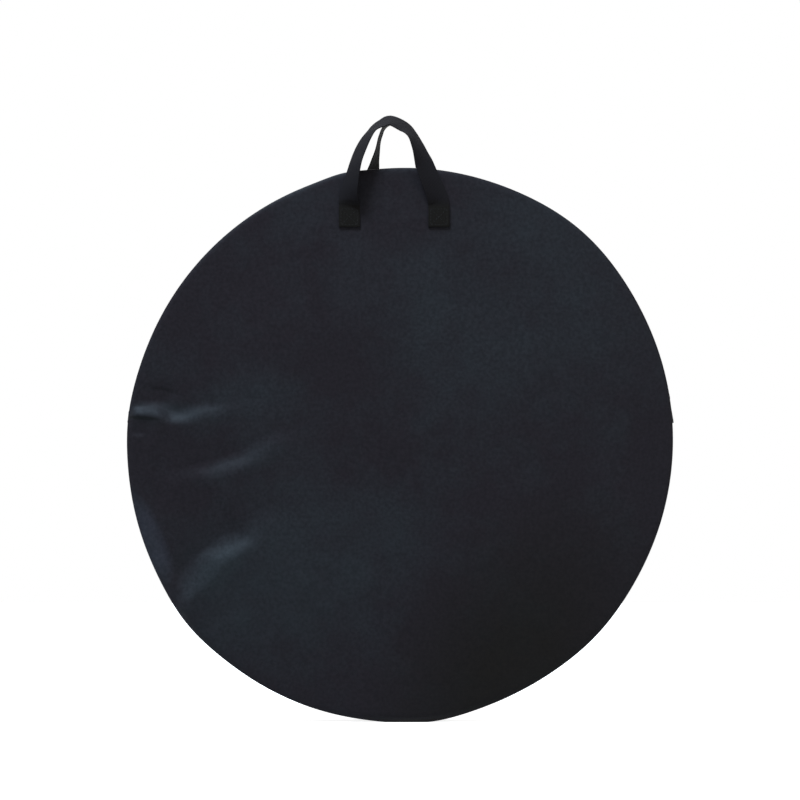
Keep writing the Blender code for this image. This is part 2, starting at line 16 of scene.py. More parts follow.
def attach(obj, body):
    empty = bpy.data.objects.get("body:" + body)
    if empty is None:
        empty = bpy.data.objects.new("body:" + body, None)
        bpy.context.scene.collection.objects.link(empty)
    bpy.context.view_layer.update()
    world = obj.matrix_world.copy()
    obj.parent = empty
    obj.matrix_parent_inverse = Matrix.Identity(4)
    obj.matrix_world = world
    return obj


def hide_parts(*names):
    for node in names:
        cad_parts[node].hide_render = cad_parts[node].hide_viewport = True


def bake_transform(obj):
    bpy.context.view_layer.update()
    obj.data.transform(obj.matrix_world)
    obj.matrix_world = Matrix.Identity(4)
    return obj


bl_info = {
    "name": "Bike wheel bag",
    "version": (1, 0, 0),
    "blender": (4, 5, 0),
    "location": "3D View > Sidebar > Wheel bag",
    "description": "Dresses the solids of a bike wheel bag in cloth, webbing, zip and thread",
    "category": "Object",
}

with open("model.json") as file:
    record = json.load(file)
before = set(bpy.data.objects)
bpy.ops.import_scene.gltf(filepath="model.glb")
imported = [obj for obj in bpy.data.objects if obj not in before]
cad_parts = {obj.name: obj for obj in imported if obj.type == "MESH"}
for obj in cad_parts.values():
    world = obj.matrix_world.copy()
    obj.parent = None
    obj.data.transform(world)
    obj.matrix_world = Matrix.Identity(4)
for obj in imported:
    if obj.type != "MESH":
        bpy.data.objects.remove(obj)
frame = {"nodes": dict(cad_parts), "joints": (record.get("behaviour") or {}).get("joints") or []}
joints = {joint["name"]: joint for joint in frame["joints"]}

FULL_TURN = math.radians(360.0)
HALF_TURN = math.radians(180.0)
TOP = math.radians(90.0)
BOTTOM = math.radians(270.0)
MM = 0.001

# The bag's sizes as its solids have them, in metres
RIM_RADIUS = 0.3665
RIM_LEAN = 0.0041
RIM_LEAN_ANGLE = math.radians(66.0)
RIM_BULGES = (  # where the slack cloth reaches further: angle, reach, spread
    (math.radians(50.0), 0.0039, math.radians(14.0)),
    (math.radians(102.0), 0.0025, math.radians(4.5)),
    (math.radians(174.0), 0.0018, math.radians(9.0)),
    (math.radians(220.0), 0.0030, math.radians(9.0)),
    (math.radians(276.0), 0.0036, math.radians(9.0)),
    (math.radians(316.0), 0.0018, math.radians(10.0)),
)
RIM_CENTRE_Z = 0.37035
SEAM_HALF = 0.020
CROWN = 0.012
ROLL_DEPTH = 0.0025
ROLL_LENGTH = 0.008
CLOTH = 0.0010
SHELL = 0.8 * CLOTH
PADDING = 0.0030
LINING = 0.0008
LAYER_GAP = 0.0003
EDGE_INSET = 0.012
BINDING_WIDTH = 0.009
BINDING = 0.0016
HUB_PATCH_RADIUS = 0.060
HUB_PATCH = 0.0013
ZIP_RADIUS = 0.3575
ZIP_SHIFT_X = 0.0025
ZIP_Z = RIM_CENTRE_Z + 0.0035
ZIP_FLAT = 0.007
WALL_SHOULDER = 0.017
RECESS_FADE = math.radians(20.0)
COIL_OUTER = 0.0040
COIL_HEAD = -0.00045
HANDLE_X = -0.0084
HANDLE_SPAN = 0.1192
LOOP_START = 0.004
LOOP_HEIGHT = 0.1135
LOOP_PARTING = 0.009

# The webbing as the photograph has it, a little narrower than its solid
WEBBING_WIDTH = 0.0278
SEWN_LENGTH = 0.0260

# Spacing of the stitches round the hub patches, the bindings, the zip and the sewn ends
PATCH_STEP, BINDING_STEP, ZIP_STEP, BOX_STEP = 4.4 * MM, 5.5 * MM, 4.6 * MM, 4.1 * MM

# Half the slider's length
SLIDER_HALF = 9 * MM

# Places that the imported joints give
FOLD_Z = joints["front_fold"]["pos_m"][2]
SEWN_TOP = joints["front_handle_swing"]["pos_m"][2]
TAB_PIVOT = Vector(joints["pull_swing"]["pos_m"])
PARK_ANGLE = math.atan2(TAB_PIVOT.z - ZIP_Z, TAB_PIVOT.x - ZIP_SHIFT_X)
FOLD_ANGLE = math.asin((FOLD_Z - ZIP_Z) / ZIP_RADIUS)
ZIP_END = FOLD_ANGLE - 0.033 / ZIP_RADIUS
COIL_END = PARK_ANGLE - 0.009 / ZIP_RADIUS

# The fold's zone reaches this far below and above the fold's axis, in m
ROLL_BELOW, ROLL_ABOVE = 0.008, 0.020

# Pleats of the slack cloth, as (across, up) / RIM_RADIUS from the panel's middle along the edge where the
# cloth stands out most, with each place's height / the pleat's own. On the edge's left hand the cloth falls
# to a trough over a narrow band, and beyond both it eases back slowly. Then height, band and easing, in m.
FRONT_PLEATS_SHARES = (
    (((-0.984, 0.101, 1.0), (-0.932, 0.101, 1.0), (-0.884, 0.100, 1.0), (-0.862, 0.096, 0.6),
      (-0.838, 0.090, 0.0)), 0.0088, 0.021, 0.040),
    (((-0.900, 0.088, 0.0), (-0.874, 0.080, 0.6), (-0.850, 0.073, 1.0), (-0.818, 0.070, 1.0),
      (-0.790, 0.073, 0.9), (-0.761, 0.081, 0.8), (-0.721, 0.092, 0.65), (-0.676, 0.098, 0.5),
      (-0.630, 0.106, 0.3), (-0.561, 0.118, 0.0)), 0.0088, 0.021, 0.040),
    (((-0.990, 0.099, 1.0), (-0.932, 0.099, 1.0), (-0.884, 0.096, 0.8), (-0.852, 0.077, 0.0)),
     0.0062, 0.040, 0.0035),
    (((-0.978, 0.020, 0.6), (-0.945, 0.019, 1.0), (-0.901, 0.026, 0.0)), 0.0024, 0.009, 0.014),
    (((-0.900, -0.156, 0.0), (-0.830, -0.150, 0.35), (-0.761, -0.142, 0.55), (-0.716, -0.128, 0.7),
      (-0.664, -0.124, 0.8), (-0.618, -0.110, 1.0), (-0.584, -0.093, 1.0), (-0.544, -0.076, 0.9),
      (-0.504, -0.053, 0.7), (-0.470, -0.031, 0.5), (-0.430, -0.010, 0.35), (-0.326, 0.022, 0.0)),
     0.0086, 0.025, 0.050),
    (((-0.790, -0.624, 0.55), (-0.767, -0.584, 0.85), (-0.721, -0.522, 1.0), (-0.693, -0.493, 1.0),
      (-0.653, -0.447, 1.0), (-0.607, -0.419, 0.9), (-0.561, -0.396, 0.75), (-0.521, -0.373, 0.5),
      (-0.476, -0.322, 0.3), (-0.399, -0.284, 0.0)), 0.0158, 0.034, 0.055),
    (((-0.800, -0.470, 0.0), (-0.820, -0.400, 0.8), (-0.850, -0.333, 1.0), (-0.880, -0.270, 0.8),
      (-0.900, -0.200, 0.0)), 0.0080, 0.022, 0.022),
    (((-0.720, -0.720, 0.0), (-0.660, -0.690, 1.0), (-0.590, -0.655, 0.8), (-0.500, -0.630, 0.0)),
     0.0020, 0.026, 0.030),
)
BACK_PLEATS_SHARES = (
    (((0.520, 0.110, 0.0), (0.640, 0.098, 0.5), (0.760, 0.076, 0.9), (0.880, 0.100, 1.0), (0.980, 0.104, 1.0)),
     0.0070, 0.016, 0.040),
    (((0.360, -0.040, 0.0), (0.540, -0.080, 0.8), (0.680, -0.124, 1.0), (0.800, -0.146, 0.5),
      (0.900, -0.156, 0.0)), 0.0066, 0.019, 0.050),
    (((0.380, -0.300, 0.0), (0.540, -0.370, 0.6), (0.660, -0.460, 1.0), (0.760, -0.580, 1.0)),
     0.0080, 0.023, 0.055),
    (((-0.930, -0.330, 0.8), (-0.760, -0.270, 1.0), (-0.560, -0.260, 0.5), (-0.420, -0.280, 0.0)),
     0.0060, 0.020, 0.045),
)

# Softer rises that fall away alike on both sides: the places as above, then height and reach on each side
FRONT_RISES_SHARES = (
    (((0.05, -1.000, 1.0), (0.10, -0.900, 1.0), (0.18, -0.740, 1.0), (0.26, -0.575, 0.9), (0.36, -0.430, 0.6),
      (0.44, -0.300, 0.2), (0.50, -0.200, 0.0)), 0.0056, 0.060),
    (((-0.10, 0.640, 0.3), (-0.05, 0.520, 1.0), (0.00, 0.380, 0.7), (0.02, 0.240, 0.0)), 0.0022, 0.065),
    (((-0.62, 0.520, 0.0), (-0.50, 0.420, 1.0), (-0.36, 0.340, 0.6), (-0.22, 0.300, 0.0)), 0.0014, 0.045),
)
BACK_RISES_SHARES = (
    (((-0.05, -1.000, 1.0), (-0.14, -0.800, 1.0), (-0.20, -0.560, 0.6), (-0.22, -0.330, 0.0)), 0.0046, 0.053),
)

# A pleat or rise is felt no further than this to its left and right, / RIM_RADIUS
PLEAT_REACH_SHARE = 0.45
# How much a pleat's edge wanders, / its band, up to a widest band in m, and how many times to the metre
WANDER, WANDER_BAND, WANDER_PACE = 0.16, 0.03, 30.0
# Waves of the slack cloth: height in m, waves to the metre, seed, and what each side adds to the seed
CLOTH_WAVES = ((0.0011, 7.0, 4.0, 3.0), (0.00035, 26.0, 9.0, 1.0))
# Puckers of the seam: height in m, turns round the rim in radians, distance from the rim and reach in m
PUCKER_HEIGHT, PUCKER_TURNS, PUCKER_INSET, PUCKER_REACH = 0.00045, 150, 0.006, 0.012
# The cloth lies flat this far beside and below the sewn ends, in m, where this share of its relief is left
FLAT_BESIDE, FLAT_BELOW, FLAT_FADE, FLAT_SHARE = 0.018, 0.034, 0.03, 0.12
# The relief dies out this near the rim, and hollows die out over a wider band, in m
RELIEF_FADE, HOLLOW_START, HOLLOW_FADE = 0.011, 0.004, 0.038
# Puckers across the side wall: their height and how near its seams they die out, in m
WALL_PUCKER, WALL_FADE = 0.0009, 0.006
# How far the points of a panel are drawn round it towards its pleats, in radians
CROWDING = 0.5

# Lighter, bluish patches on the front. The first two are broad; the fourth is a painted sheen along the lower left
# edge, and the others are painted highlights along the lit bands of the pleats. Each: middle (x, z) in m, half sizes
# in m, lean in degrees, strength
COOL_AND_HIGHLIGHT_PATCHES = (
    ((0.135, 0.550), (0.270, 0.260), 0.0, 0.40),
    ((-0.150, 0.200), (0.230, 0.170), 20.0, 0.60),
    ((-0.205, 0.432), (0.110, 0.035), 8.0, 0.30),
    ((-0.341, 0.247), (0.090, 0.024), -68.0, 0.62),
    ((-0.313, 0.413), (0.085, 0.018), -5.0, 0.35),
    ((-0.220, 0.340), (0.085, 0.020), 22.0, 0.25),
    ((-0.250, 0.200), (0.095, 0.030), 44.0, 0.40),
)
COOL_EDGE = 0.6

# Painted light and shade on the front's cloth: a painted shade low on the right, a painted shadow under the sharpest
# crease and a painted sheen along the lower left edge. Each: colour, middle, half sizes and lean as above, softness
# of the edge, strength
MARKS = (
    ("stain", (0.150, 0.050), (0.30, 0.19), 60.0, 0.75, 0.81),
    ("soiled", (-0.343, 0.4058), (0.026, 0.0032), -4.4, 0.5, 0.8),
    ("worn", (-0.331, 0.245), (0.068, 0.019), -68.0, 0.5, 0.5),
)

# Each loop as (across / HANDLE_SPAN, up / LOOP_HEIGHT, nearer edge's way out to the panel's face,
# turn of the webbing / a quarter turn), from the left end to the right one
FRONT_LOOP_SHARES = (
    (-0.500, 0.000, 1.00, 0.00), (-0.505, 0.060, 0.98, 0.22), (-0.497, 0.169, 0.95, 0.40),
    (-0.472, 0.287, 0.90, 0.52), (-0.452, 0.390, 0.84, 0.59), (-0.419, 0.520, 0.74, 0.64),
    (-0.373, 0.647, 0.60, 0.66), (-0.321, 0.758, 0.45, 0.71), (-0.262, 0.851, 0.32, 0.78),
    (-0.211, 0.908, 0.22, 0.77), (-0.135, 0.955, 0.13, 0.71), (-0.040, 0.990, 0.04, 0.65),
    (0.105, 0.919, 0.08, 0.62), (0.203, 0.822, 0.21, 0.70), (0.265, 0.692, 0.40, 0.61),
    (0.307, 0.573, 0.60, 0.49), (0.343, 0.470, 0.76, 0.36), (0.405, 0.292, 0.92, 0.25),
    (0.470, 0.129, 0.98, 0.12), (0.500, 0.000, 1.00, 0.00),
)
REAR_LOOP_SHARES = (
    (-0.500, 0.000, 1.00, 0.00), (-0.455, 0.120, 0.98, 0.22), (-0.352, 0.250, 0.93, 0.40),
    (-0.258, 0.370, 0.86, 0.55), (-0.232, 0.457, 0.77, 0.66), (-0.214, 0.559, 0.66, 0.78),
    (-0.192, 0.664, 0.54, 0.87), (-0.173, 0.770, 0.42, 0.92), (-0.154, 0.843, 0.30, 0.92),
    (-0.127, 0.915, 0.18, 0.94), (-0.080, 0.972, 0.08, 0.93), (-0.010, 1.000, 0.02, 0.92),
    (0.110, 0.965, 0.08, 0.91), (0.200, 0.860, 0.22, 0.88), (0.247, 0.730, 0.42, 0.80),
    (0.286, 0.600, 0.62, 0.68), (0.335, 0.450, 0.82, 0.52), (0.412, 0.290, 0.93, 0.34),
    (0.480, 0.130, 0.98, 0.18), (0.500, 0.000, 1.00, 0.00),
)

# The stage: the camera's place and half the height that it sees at the bag, in m
CAMERA_X, CAMERA_BACK, CAMERA_Z = -0.0005, 4.5, 0.4298
PHOTO_HALF = 0.5338
SENSOR_MM, CAMERA_REACH = 36.0, 60
PAPER_HALF = 2.6
# Light that reaches the bag from the surround, and what the paper sends back and glows with, / white
WORLD_LEVEL, PAPER_BOUNCE, PAPER_GLOW = 0.25, 0.2, 0.85
LAMPS = (  # name, place and size in m, power in W, colour
    ("key", (-1.4, -1.7, 4.5), 1.2, 380.0, (0.76, 0.89, 1.0)),
    ("fill", (2.6, -3.2, 1.2), 1.6, 38.0, (1.0, 0.94, 0.88)),
    ("top", (0.2, 0.8, 2.8), 1.2, 12.0, (1.0, 1.0, 1.0)),
)
LAMPS_LOOK_AT = (0, 0, 0.4)


def linear(hex_colour):
    """An sRGB hex colour as the linear numbers that shaders take."""
    channels = [int(hex_colour[i : i + 2], 16) / 255 for i in (1, 3, 5)]
    return tuple(c / 12.92 if c <= 0.04045 else ((c + 0.055) / 1.055) ** 2.4 for c in channels)


def smooth(share):
    """An even rise from 0 to 1."""
    share = min(max(share, 0.0), 1.0)
    return share * share * (3 - 2 * share)


def length_property(name, default, description):
    return FloatProperty(name=name, default=default, min=0.0, unit="LENGTH", precision=5, description=description)


def colour_property(name, hex_colour, description):
    return FloatVectorProperty(name=name, subtype="COLOR", size=3, min=0.0, max=1.0, default=linear(hex_colour),
                               description=description)


class WHEELBAG_PG_sizes(bpy.types.PropertyGroup):
    """Sizes of what is sewn, woven and moulded on the bag"""

    wrinkle: FloatProperty(name="Wrinkles", default=1.0, min=0.0, max=1.5, subtype="FACTOR",
                           description="How deep the slack cloth's wrinkles are")
    cloth_thread: length_property("Cloth thread", 1.3 * MM, "Spacing of the cloth's threads, as drawn")
    webbing_rib: length_property("Webbing rib", 1.9 * MM, "Spacing of the ribs along the webbing")
    lining_thread: length_property("Lining thread", 0.8 * MM, "Spacing of the lining's threads, as drawn")
    stitch: length_property("Stitch", 3.2 * MM, "Length of one stitch")
    thread: length_property("Sewing thread", 0.7 * MM, "Thickness of the sewing thread")
    tooth_pitch: length_property("Zip pitch", 2.2 * MM, "Spacing of the zip's turns of coil on one side")


class WHEELBAG_PG_colours(bpy.types.PropertyGroup):
    """Colours of the bag's materials"""

    cloth: colour_property("Cloth", "#1d1a1e", "Coated polyester of the panels and the wall")
    # The cool colour is also used for painted highlights along the pleats and a painted sheen along the lower left
    # edge
    cloth_cool_and_highlight: colour_property("Cloth, cool patches", "#24282c", "Where the coating catches a bluish cast")
    webbing: colour_property("Webbing", "#141312", "Webbing of the loops")
    # Painted sheen: a lighter, bluish band along the lower left edge
    worn: colour_property("Worn edge", "#30313a", "Cloth where the coat is rubbed along the lower left edge")
    # Painted shadow: the dark line under the sharpest crease
    soiled: colour_property("Soiled crease", "#0a0a09", "Cloth in the bottom of the sharpest crease")
    # A shade lighter and bluer on the front loop above its sewn ends
    front_loop_lighter: colour_property("Handled webbing", "#18171a", "Webbing where hands have rubbed it")
    # Painted shade: the whole rear loop's webbing is coloured darker
    rear_loop_painted_shade: colour_property("Unhandled webbing", "#0b0a0a", "Webbing of the rear loop, still as black as new")
    binding: colour_property("Binding", "#161719", "Tape that binds the seams and tabs")
    lining: colour_property("Lining", "#3a3e44", "Nylon lining inside")
    foam: colour_property("Foam", "#8c8f92", "Padding between cloth and lining")
    patch: colour_property("Hub patch", "#26272a", "Tough patches inside, at the hub")
    tape: colour_property("Zip tape", "#131315", "Woven tape of the zip")
    coil: colour_property("Zip coil", "#151517", "Nylon coil of the zip")
    # Painted shade: a darker, duller patch low on the right of the front
    stain: colour_property("Worn patch", "#100d08", "Duller patch low on the right of the front")
    thread: colour_property("Thread", "#161617", "Sewing thread")
    metal: colour_property("Slider", "#1d1e20", "Painted metal of the slider and its tab")
    metal_rubbed: colour_property("Slider, rubbed", "#4a4b4e", "Where the slider's paint is rubbed")


# The bag's surfaces


def rim_reach(angle):
    """The seam's distance from the panels' centre."""
    reach = RIM_RADIUS + RIM_LEAN * math.cos(2 * (angle - RIM_LEAN_ANGLE))
    for middle, height, spread in RIM_BULGES:
        past = (angle - middle + HALF_TURN) % FULL_TURN - HALF_TURN
        reach += height * math.exp(-((past / spread) ** 2))
    return reach


def panel_depth(radius):
    """How far a panel's even outer face lies from the bag's middle plane."""
    inset = min(max((RIM_RADIUS - radius) / ROLL_LENGTH, 0.0), 1.0)
    roll = ROLL_DEPTH * math.sqrt(max(1.0 - (1.0 - inset) ** 2, 0.0))
    return SEAM_HALF + CLOTH + roll + CROWN * (1.0 - (radius / RIM_RADIUS) ** 2)


HANDLE_FACE = panel_depth(math.hypot(HANDLE_SPAN / 2, SEWN_TOP - RIM_CENTRE_Z)) + 0.5 * MM


def nearest_on(points, at):
    """The nearest place on a line of (across, up, share): its distance, its side and its share."""
    best = (9.0, 1.0, 0.0)  # too far away to be felt
    left, right = min(point[0] for point in points), max(point[0] for point in points)
    if not left - PLEAT_REACH_SHARE < at[0] < right + PLEAT_REACH_SHARE:
        return best
    for (ax, ay, ah), (bx, by, bh) in zip(points, points[1:]):
        run_x, run_y = bx - ax, by - ay
        along = ((at[0] - ax) * run_x + (at[1] - ay) * run_y) / (run_x * run_x + run_y * run_y)
        along = min(max(along, 0.0), 1.0)
        off_x, off_y = at[0] - ax - along * run_x, at[1] - ay - along * run_y
        distance = math.hypot(off_x, off_y)
        if distance < best[0]:
            side = math.copysign(1.0, run_x * off_y - run_y * off_x)
            best = (distance, side, ah + along * (bh - ah))
    return best


def pleat(past, band, easing):
    """A pleat's height this far to the left of its edge: 0.5 at the edge, -0.5 at the foot of its band."""
    if past < 0:
        return 0.5 * math.exp(past / easing)
    if past < band:
        share = past / band
        return 0.5 - share + 0.09 * math.sin(FULL_TURN * share)
    return -0.5 * math.exp((band - past) / easing)


def relief(side, x, z):
    """How far the slack cloth stands out from its even dome here, in front (-1) or behind (1)."""
    at = (x / RIM_RADIUS, (z - RIM_CENTRE_Z) / RIM_RADIUS)
    out = 0.0
    for points, height, band, easing in FRONT_PLEATS_SHARES if side < 0 else BACK_PLEATS_SHARES:
        distance, left, share = nearest_on(points, at)
        uneven = WANDER * min(band, WANDER_BAND) * noise.noise(Vector((x * WANDER_PACE, z * WANDER_PACE, 6.0)))
        out += height * share * pleat(math.copysign(distance * RIM_RADIUS, left) + uneven, band, easing)
    for points, height, reach in FRONT_RISES_SHARES if side < 0 else BACK_RISES_SHARES:
        distance, _, share = nearest_on(points, at)
        out += height * share * math.exp(-((distance * RIM_RADIUS / reach) ** 2))
    for height, pace, seed, step in CLOTH_WAVES:
        out += height * noise.noise(Vector((x * pace, z * pace, seed + step * side)))
    angle = math.atan2(z - RIM_CENTRE_Z, x)
    inset = rim_reach(angle) - math.hypot(x, z - RIM_CENTRE_Z)
    pucker = 0.5 + noise.noise(Vector((math.cos(angle) * 6, math.sin(angle) * 6, side)))
    wander = 5 * noise.noise(Vector((math.cos(angle) * 3, math.sin(angle) * 3, 2.0)))
    ripple = math.sin(angle * PUCKER_TURNS + wander)
    out += PUCKER_HEIGHT * pucker * ripple * math.exp(-(((inset - PUCKER_INSET) / PUCKER_REACH) ** 2))
    beside_handles = smooth((abs(x - HANDLE_X) - HANDLE_SPAN / 2 - FLAT_BESIDE) / FLAT_FADE)
    below_handles = smooth((SEWN_TOP - FLAT_BELOW - z) / FLAT_FADE)
    out *= max(beside_handles, below_handles, FLAT_SHARE) * smooth(inset / RELIEF_FADE)
    if out < 0:
        out *= smooth((inset - HOLLOW_START) / HOLLOW_FADE)
    return out * bpy.context.scene.wheelbag_sizes.wrinkle


def rim_point(angle, inset):
    """A place (x, z) this far inside the rim, and as far above the floor."""
    reach = rim_reach(angle) - inset
    return reach * math.cos(angle), max(RIM_CENTRE_Z + reach * math.sin(angle), inset)


def zip_point(angle, inset):
    """A place (x, z) this far inside the zip's arc."""
    reach = ZIP_RADIUS - inset
    return ZIP_SHIFT_X + reach * math.cos(angle), ZIP_Z + reach * math.sin(angle)


def recess_share(angle, depth):
    """How much the side wall follows the zip's arc and not the rim's, from 0 to 1."""
    angle = angle % FULL_TURN
    past = max(ZIP_END - angle, angle - (HALF_TURN - ZIP_END), 0.0)
    if angle > BOTTOM:
        past = ZIP_END + FULL_TURN - angle
    along = max(1.0 - past / RECESS_FADE, 0.0)
    return along * smooth((WALL_SHOULDER - abs(depth)) / (WALL_SHOULDER - ZIP_FLAT))


def settle_panel(point):
    """Moves a point of a plain turned disc to the bag's outline."""
    radius, angle = math.hypot(point.x, point.z), math.atan2(point.z, point.x)
    reach = radius * rim_reach(angle) / RIM_RADIUS
    z = max(RIM_CENTRE_Z + reach * math.sin(angle), RIM_RADIUS - radius)
    return Vector((reach * math.cos(angle), point.y, z))


def settle_slack_panel(point):
    """The same, with the wrinkles of the side that the point is on."""
    settled = settle_panel(point)
    side = math.copysign(1.0, point.y)
    settled.y += side * relief(side, settled.x, settled.z)
    return settled


def settle_wall(point):
    """Moves a point of a plain turned band to the side wall, where it follows the rim or the zip."""
    inset = RIM_RADIUS - math.hypot(point.x, point.z)
    angle = math.atan2(point.z, point.x)
    share = recess_share(angle, point.y)
    rim_x, rim_z = rim_point(angle, inset)
    zip_x, zip_z = zip_point(angle, inset)
    return Vector((rim_x + share * (zip_x - rim_x), point.y, rim_z + share * (zip_z - rim_z)))


def wall_place(angle, depth, lift):
    """A place on the side wall this far above its outer face."""
    radius = RIM_RADIUS + lift
    return settle_wall(Vector((radius * math.cos(angle), depth, radius * math.sin(angle))))


# Making pieces


def piece(name, bm, material, rides=None, instead_of=(), flat_shaded=False):
    """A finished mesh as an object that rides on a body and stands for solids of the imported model."""
    mesh = bpy.data.meshes.new(name)
    bm.to_mesh(mesh)
    bm.free()
    mesh.materials.append(material)
    made = bpy.data.objects.new(name, mesh)
    bpy.context.scene.collection.objects.link(made)
    if not flat_shaded:
        mesh.shade_smooth()
    if rides:
        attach(made, rides)
    if instead_of:
        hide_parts(*instead_of)
    return made


def join(bm, other, places):
    """Adds a copy of another shape at each place, then frees that shape."""
    shape = bpy.data.meshes.new("shape")
    other.to_mesh(shape)
    other.free()
    for place in places:
        copy = shape.copy()
        copy.transform(place)
        bm.from_mesh(copy)
        bpy.data.meshes.remove(copy)
    bpy.data.meshes.remove(shape)


def thicken(made, thickness, offset=-1.0):
    """Gives a sheet its thickness, inwards unless it is said otherwise."""
    solid = made.modifiers.new("thickness", "SOLIDIFY")
    solid.thickness = thickness
    solid.offset = offset
    solid.use_rim = True
    solid.use_even_offset = False
    return made


def round_edges(made, width, sharper_than=30.0):
    """Rounds the edges that turn by more than so many degrees."""
    rounded = made.modifiers.new("edges", "BEVEL")
    rounded.width, rounded.segments, rounded.limit_method = width, 2, "ANGLE"
    rounded.angle_limit = math.radians(sharper_than)


def draw_out(bm, line, moves):
    """Draws an open line of points out by each of these moves in turn, into a sheet."""
    edges = [bm.edges.new(pair) for pair in zip(line, line[1:])]
    for move in moves:
        made = bmesh.ops.extrude_edge_only(bm, edges=edges)["geom"]
        fresh = [item for item in made if isinstance(item, bmesh.types.BMVert)]
        bmesh.ops.translate(bm, verts=fresh, vec=move)
        edges = [item for item in made if isinstance(item, bmesh.types.BMEdge)
                 and all(vert in fresh for vert in item.verts)]
    bmesh.ops.recalc_face_normals(bm, faces=bm.faces[:])


def crowd_pleats(point):
    """Draws the points of a turned disc together towards the side that has the pleats."""
    radius, angle = math.hypot(point.x, point.z), math.atan2(point.z, point.x)
    angle += math.copysign(CROWDING, -point.y) * math.sin(angle)
    return Vector((radius * math.cos(angle), point.y, radius * math.sin(angle)))


def turned(profile, start, end, steps, settle, outward, keep=None, by_angle=True, crowd=None, rows=(),
           cut=None):
    """A sheet spun about the bag's middle from (radius, y) places, laid on the bag, with a UV map in metres. It
    keeps what is above or below a cut, gets a straight row of points at each height in rows, and has its outer
    side where most of it faces outwards."""
    bm = bmesh.new()
    points = [bm.verts.new((r * math.cos(start), y, r * math.sin(start))) for r, y in profile]
    edges = [bm.edges.new(pair) for pair in zip(points, points[1:])]
    bmesh.ops.spin(bm, geom=points + edges, cent=(0, 0, 0), axis=(0, -1, 0), angle=end - start, steps=steps,
                   use_merge=math.isclose(end - start, FULL_TURN))
    bmesh.ops.remove_doubles(bm, verts=bm.verts[:], dist=1e-6)
    if crowd:
        for vert in bm.verts:
            vert.co = crowd(vert.co)
    bm.normal_update()
    cloth_map = bm.loops.layers.uv.new("cloth")
    for face in bm.faces:
        middle = face.calc_center_median()
        home = (math.atan2(middle.z, middle.x) - start) % FULL_TURN
        for loop in face.loops:
            co = loop.vert.co
            if by_angle:
                turn = (math.atan2(co.z, co.x) - start) % FULL_TURN
                turn += FULL_TURN * round((home - turn) / FULL_TURN)
                loop[cloth_map].uv = (turn * RIM_RADIUS, co.y)
            else:
                loop[cloth_map].uv = (co.x, co.z)
    for vert in bm.verts:
        vert.co = settle(vert.co)
    if keep:
        sign = 1.0 if keep == "above" else -1.0
        bmesh.ops.bisect_plane(bm, geom=bm.verts[:] + bm.edges[:] + bm.faces[:], dist=1e-6, clear_inner=True,
                               plane_co=(0, 0, cut or FOLD_Z + sign * 0.1 * MM), plane_no=(0, 0, sign))
    for z in rows:
        bmesh.ops.bisect_plane(bm, geom=bm.verts[:] + bm.edges[:] + bm.faces[:], dist=1e-5,
                               plane_co=(0, 0, z), plane_no=(0, 0, 1))
    bmesh.ops.recalc_face_normals(bm, faces=bm.faces[:])
    facing = sum(face.normal.dot(outward(face.calc_center_median())) * face.calc_area() for face in bm.faces)
    if facing < 0:
        bmesh.ops.reverse_faces(bm, faces=bm.faces[:])
    return bm


def disc(places, side, steps, **more):
    """A round sheet through (radius, depth) places in front of the middle plane (-1) or behind it (1)."""
    profile = [(radius, side * depth) for radius, depth in places]
    out = Vector((0.0, side, 0.0))
    return turned(profile, 0.0, FULL_TURN, steps, settle_slack_panel, lambda at: out, by_angle=False, **more)


def from_middle(at):
    return Vector((at.x, 0.0, at.z - RIM_CENTRE_Z))


def rows_between(low, high, count):
    return [low + (high - low) * i / count for i in range(count + 1)]


def bend_at_fold(made):
    """Bakes the piece's transform into its mesh."""
    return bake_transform(made)


def fold_rows(side):
    """Heights at which the front's layers get straight rows of points, from just below the fold to just above it."""
    return rows_between(FOLD_Z - ROLL_BELOW, FOLD_Z + ROLL_ABOVE, 7) if side < 0 else ()


# Materials


def new_material(name):
    made = bpy.data.materials.new(name)
    made.use_nodes = True
    return made


def add_node(material, kind, inputs=(), output=0, **settings):
    """Adds a node with its settings, and a value or a link for each of its inputs, which are given in their
    order or by name. Gives one of its outputs."""
    tree = material.node_tree
    made = tree.nodes.new("ShaderNode" + kind)
    for name, value in settings.items():
        setattr(made, name, value)
    for socket, value in inputs.items() if isinstance(inputs, dict) else enumerate(inputs):
        if isinstance(value, bpy.types.NodeSocket):
            tree.links.new(value, made.inputs[socket])
        else:
            made.inputs[socket].default_value = value
    return made.outputs[output]


# A Mix node has one factor, then two inputs and a result for each kind of value. These are the colours'.
FACTOR, COLOUR_A, COLOUR_B, COLOUR_OUT = 0, 6, 7, 2
COLOURS = {"output": COLOUR_OUT, "data_type": "RGBA"}

# The scale at which a Wave texture's bands lie 1 apart
BANDS_APART = 0.31416


def set_surface(material, inputs):
    """Sets the sockets of the material's own shader."""
    shader = material.node_tree.nodes["Principled BSDF"]
    for socket, value in inputs.items():
        if isinstance(value, bpy.types.NodeSocket):
            material.node_tree.links.new(value, shader.inputs[socket])
        else:
            shader.inputs[socket].default_value = value
    return material


def rgba(colour, gain=1.0):
    return (*(min(channel * gain, 1.0) for channel in colour), 1.0)


def weave_of(material, spacing):
    """Plain weave: warp and weft threads that pass over each other in turn, as a height from 0 to 1."""
    where = add_node(material, "UVMap", uv_map="cloth")
    threads = add_node(material, "Mapping", {"Vector": where, "Scale": (1 / spacing,) * 3})
    bend = {"Vector": threads, "Scale": BANDS_APART, "Distortion": 0.6, "Detail": 1.0, "Detail Scale": 0.7}
    warp = add_node(material, "TexWave", bend, "Fac", bands_direction="X")
    weft = add_node(material, "TexWave", bend, "Fac", bands_direction="Y")
    over = add_node(material, "TexChecker", {"Vector": threads, "Scale": 1.0}, "Fac")
    return add_node(material, "Mix", {"Factor": over, "A": warp, "B": weft})


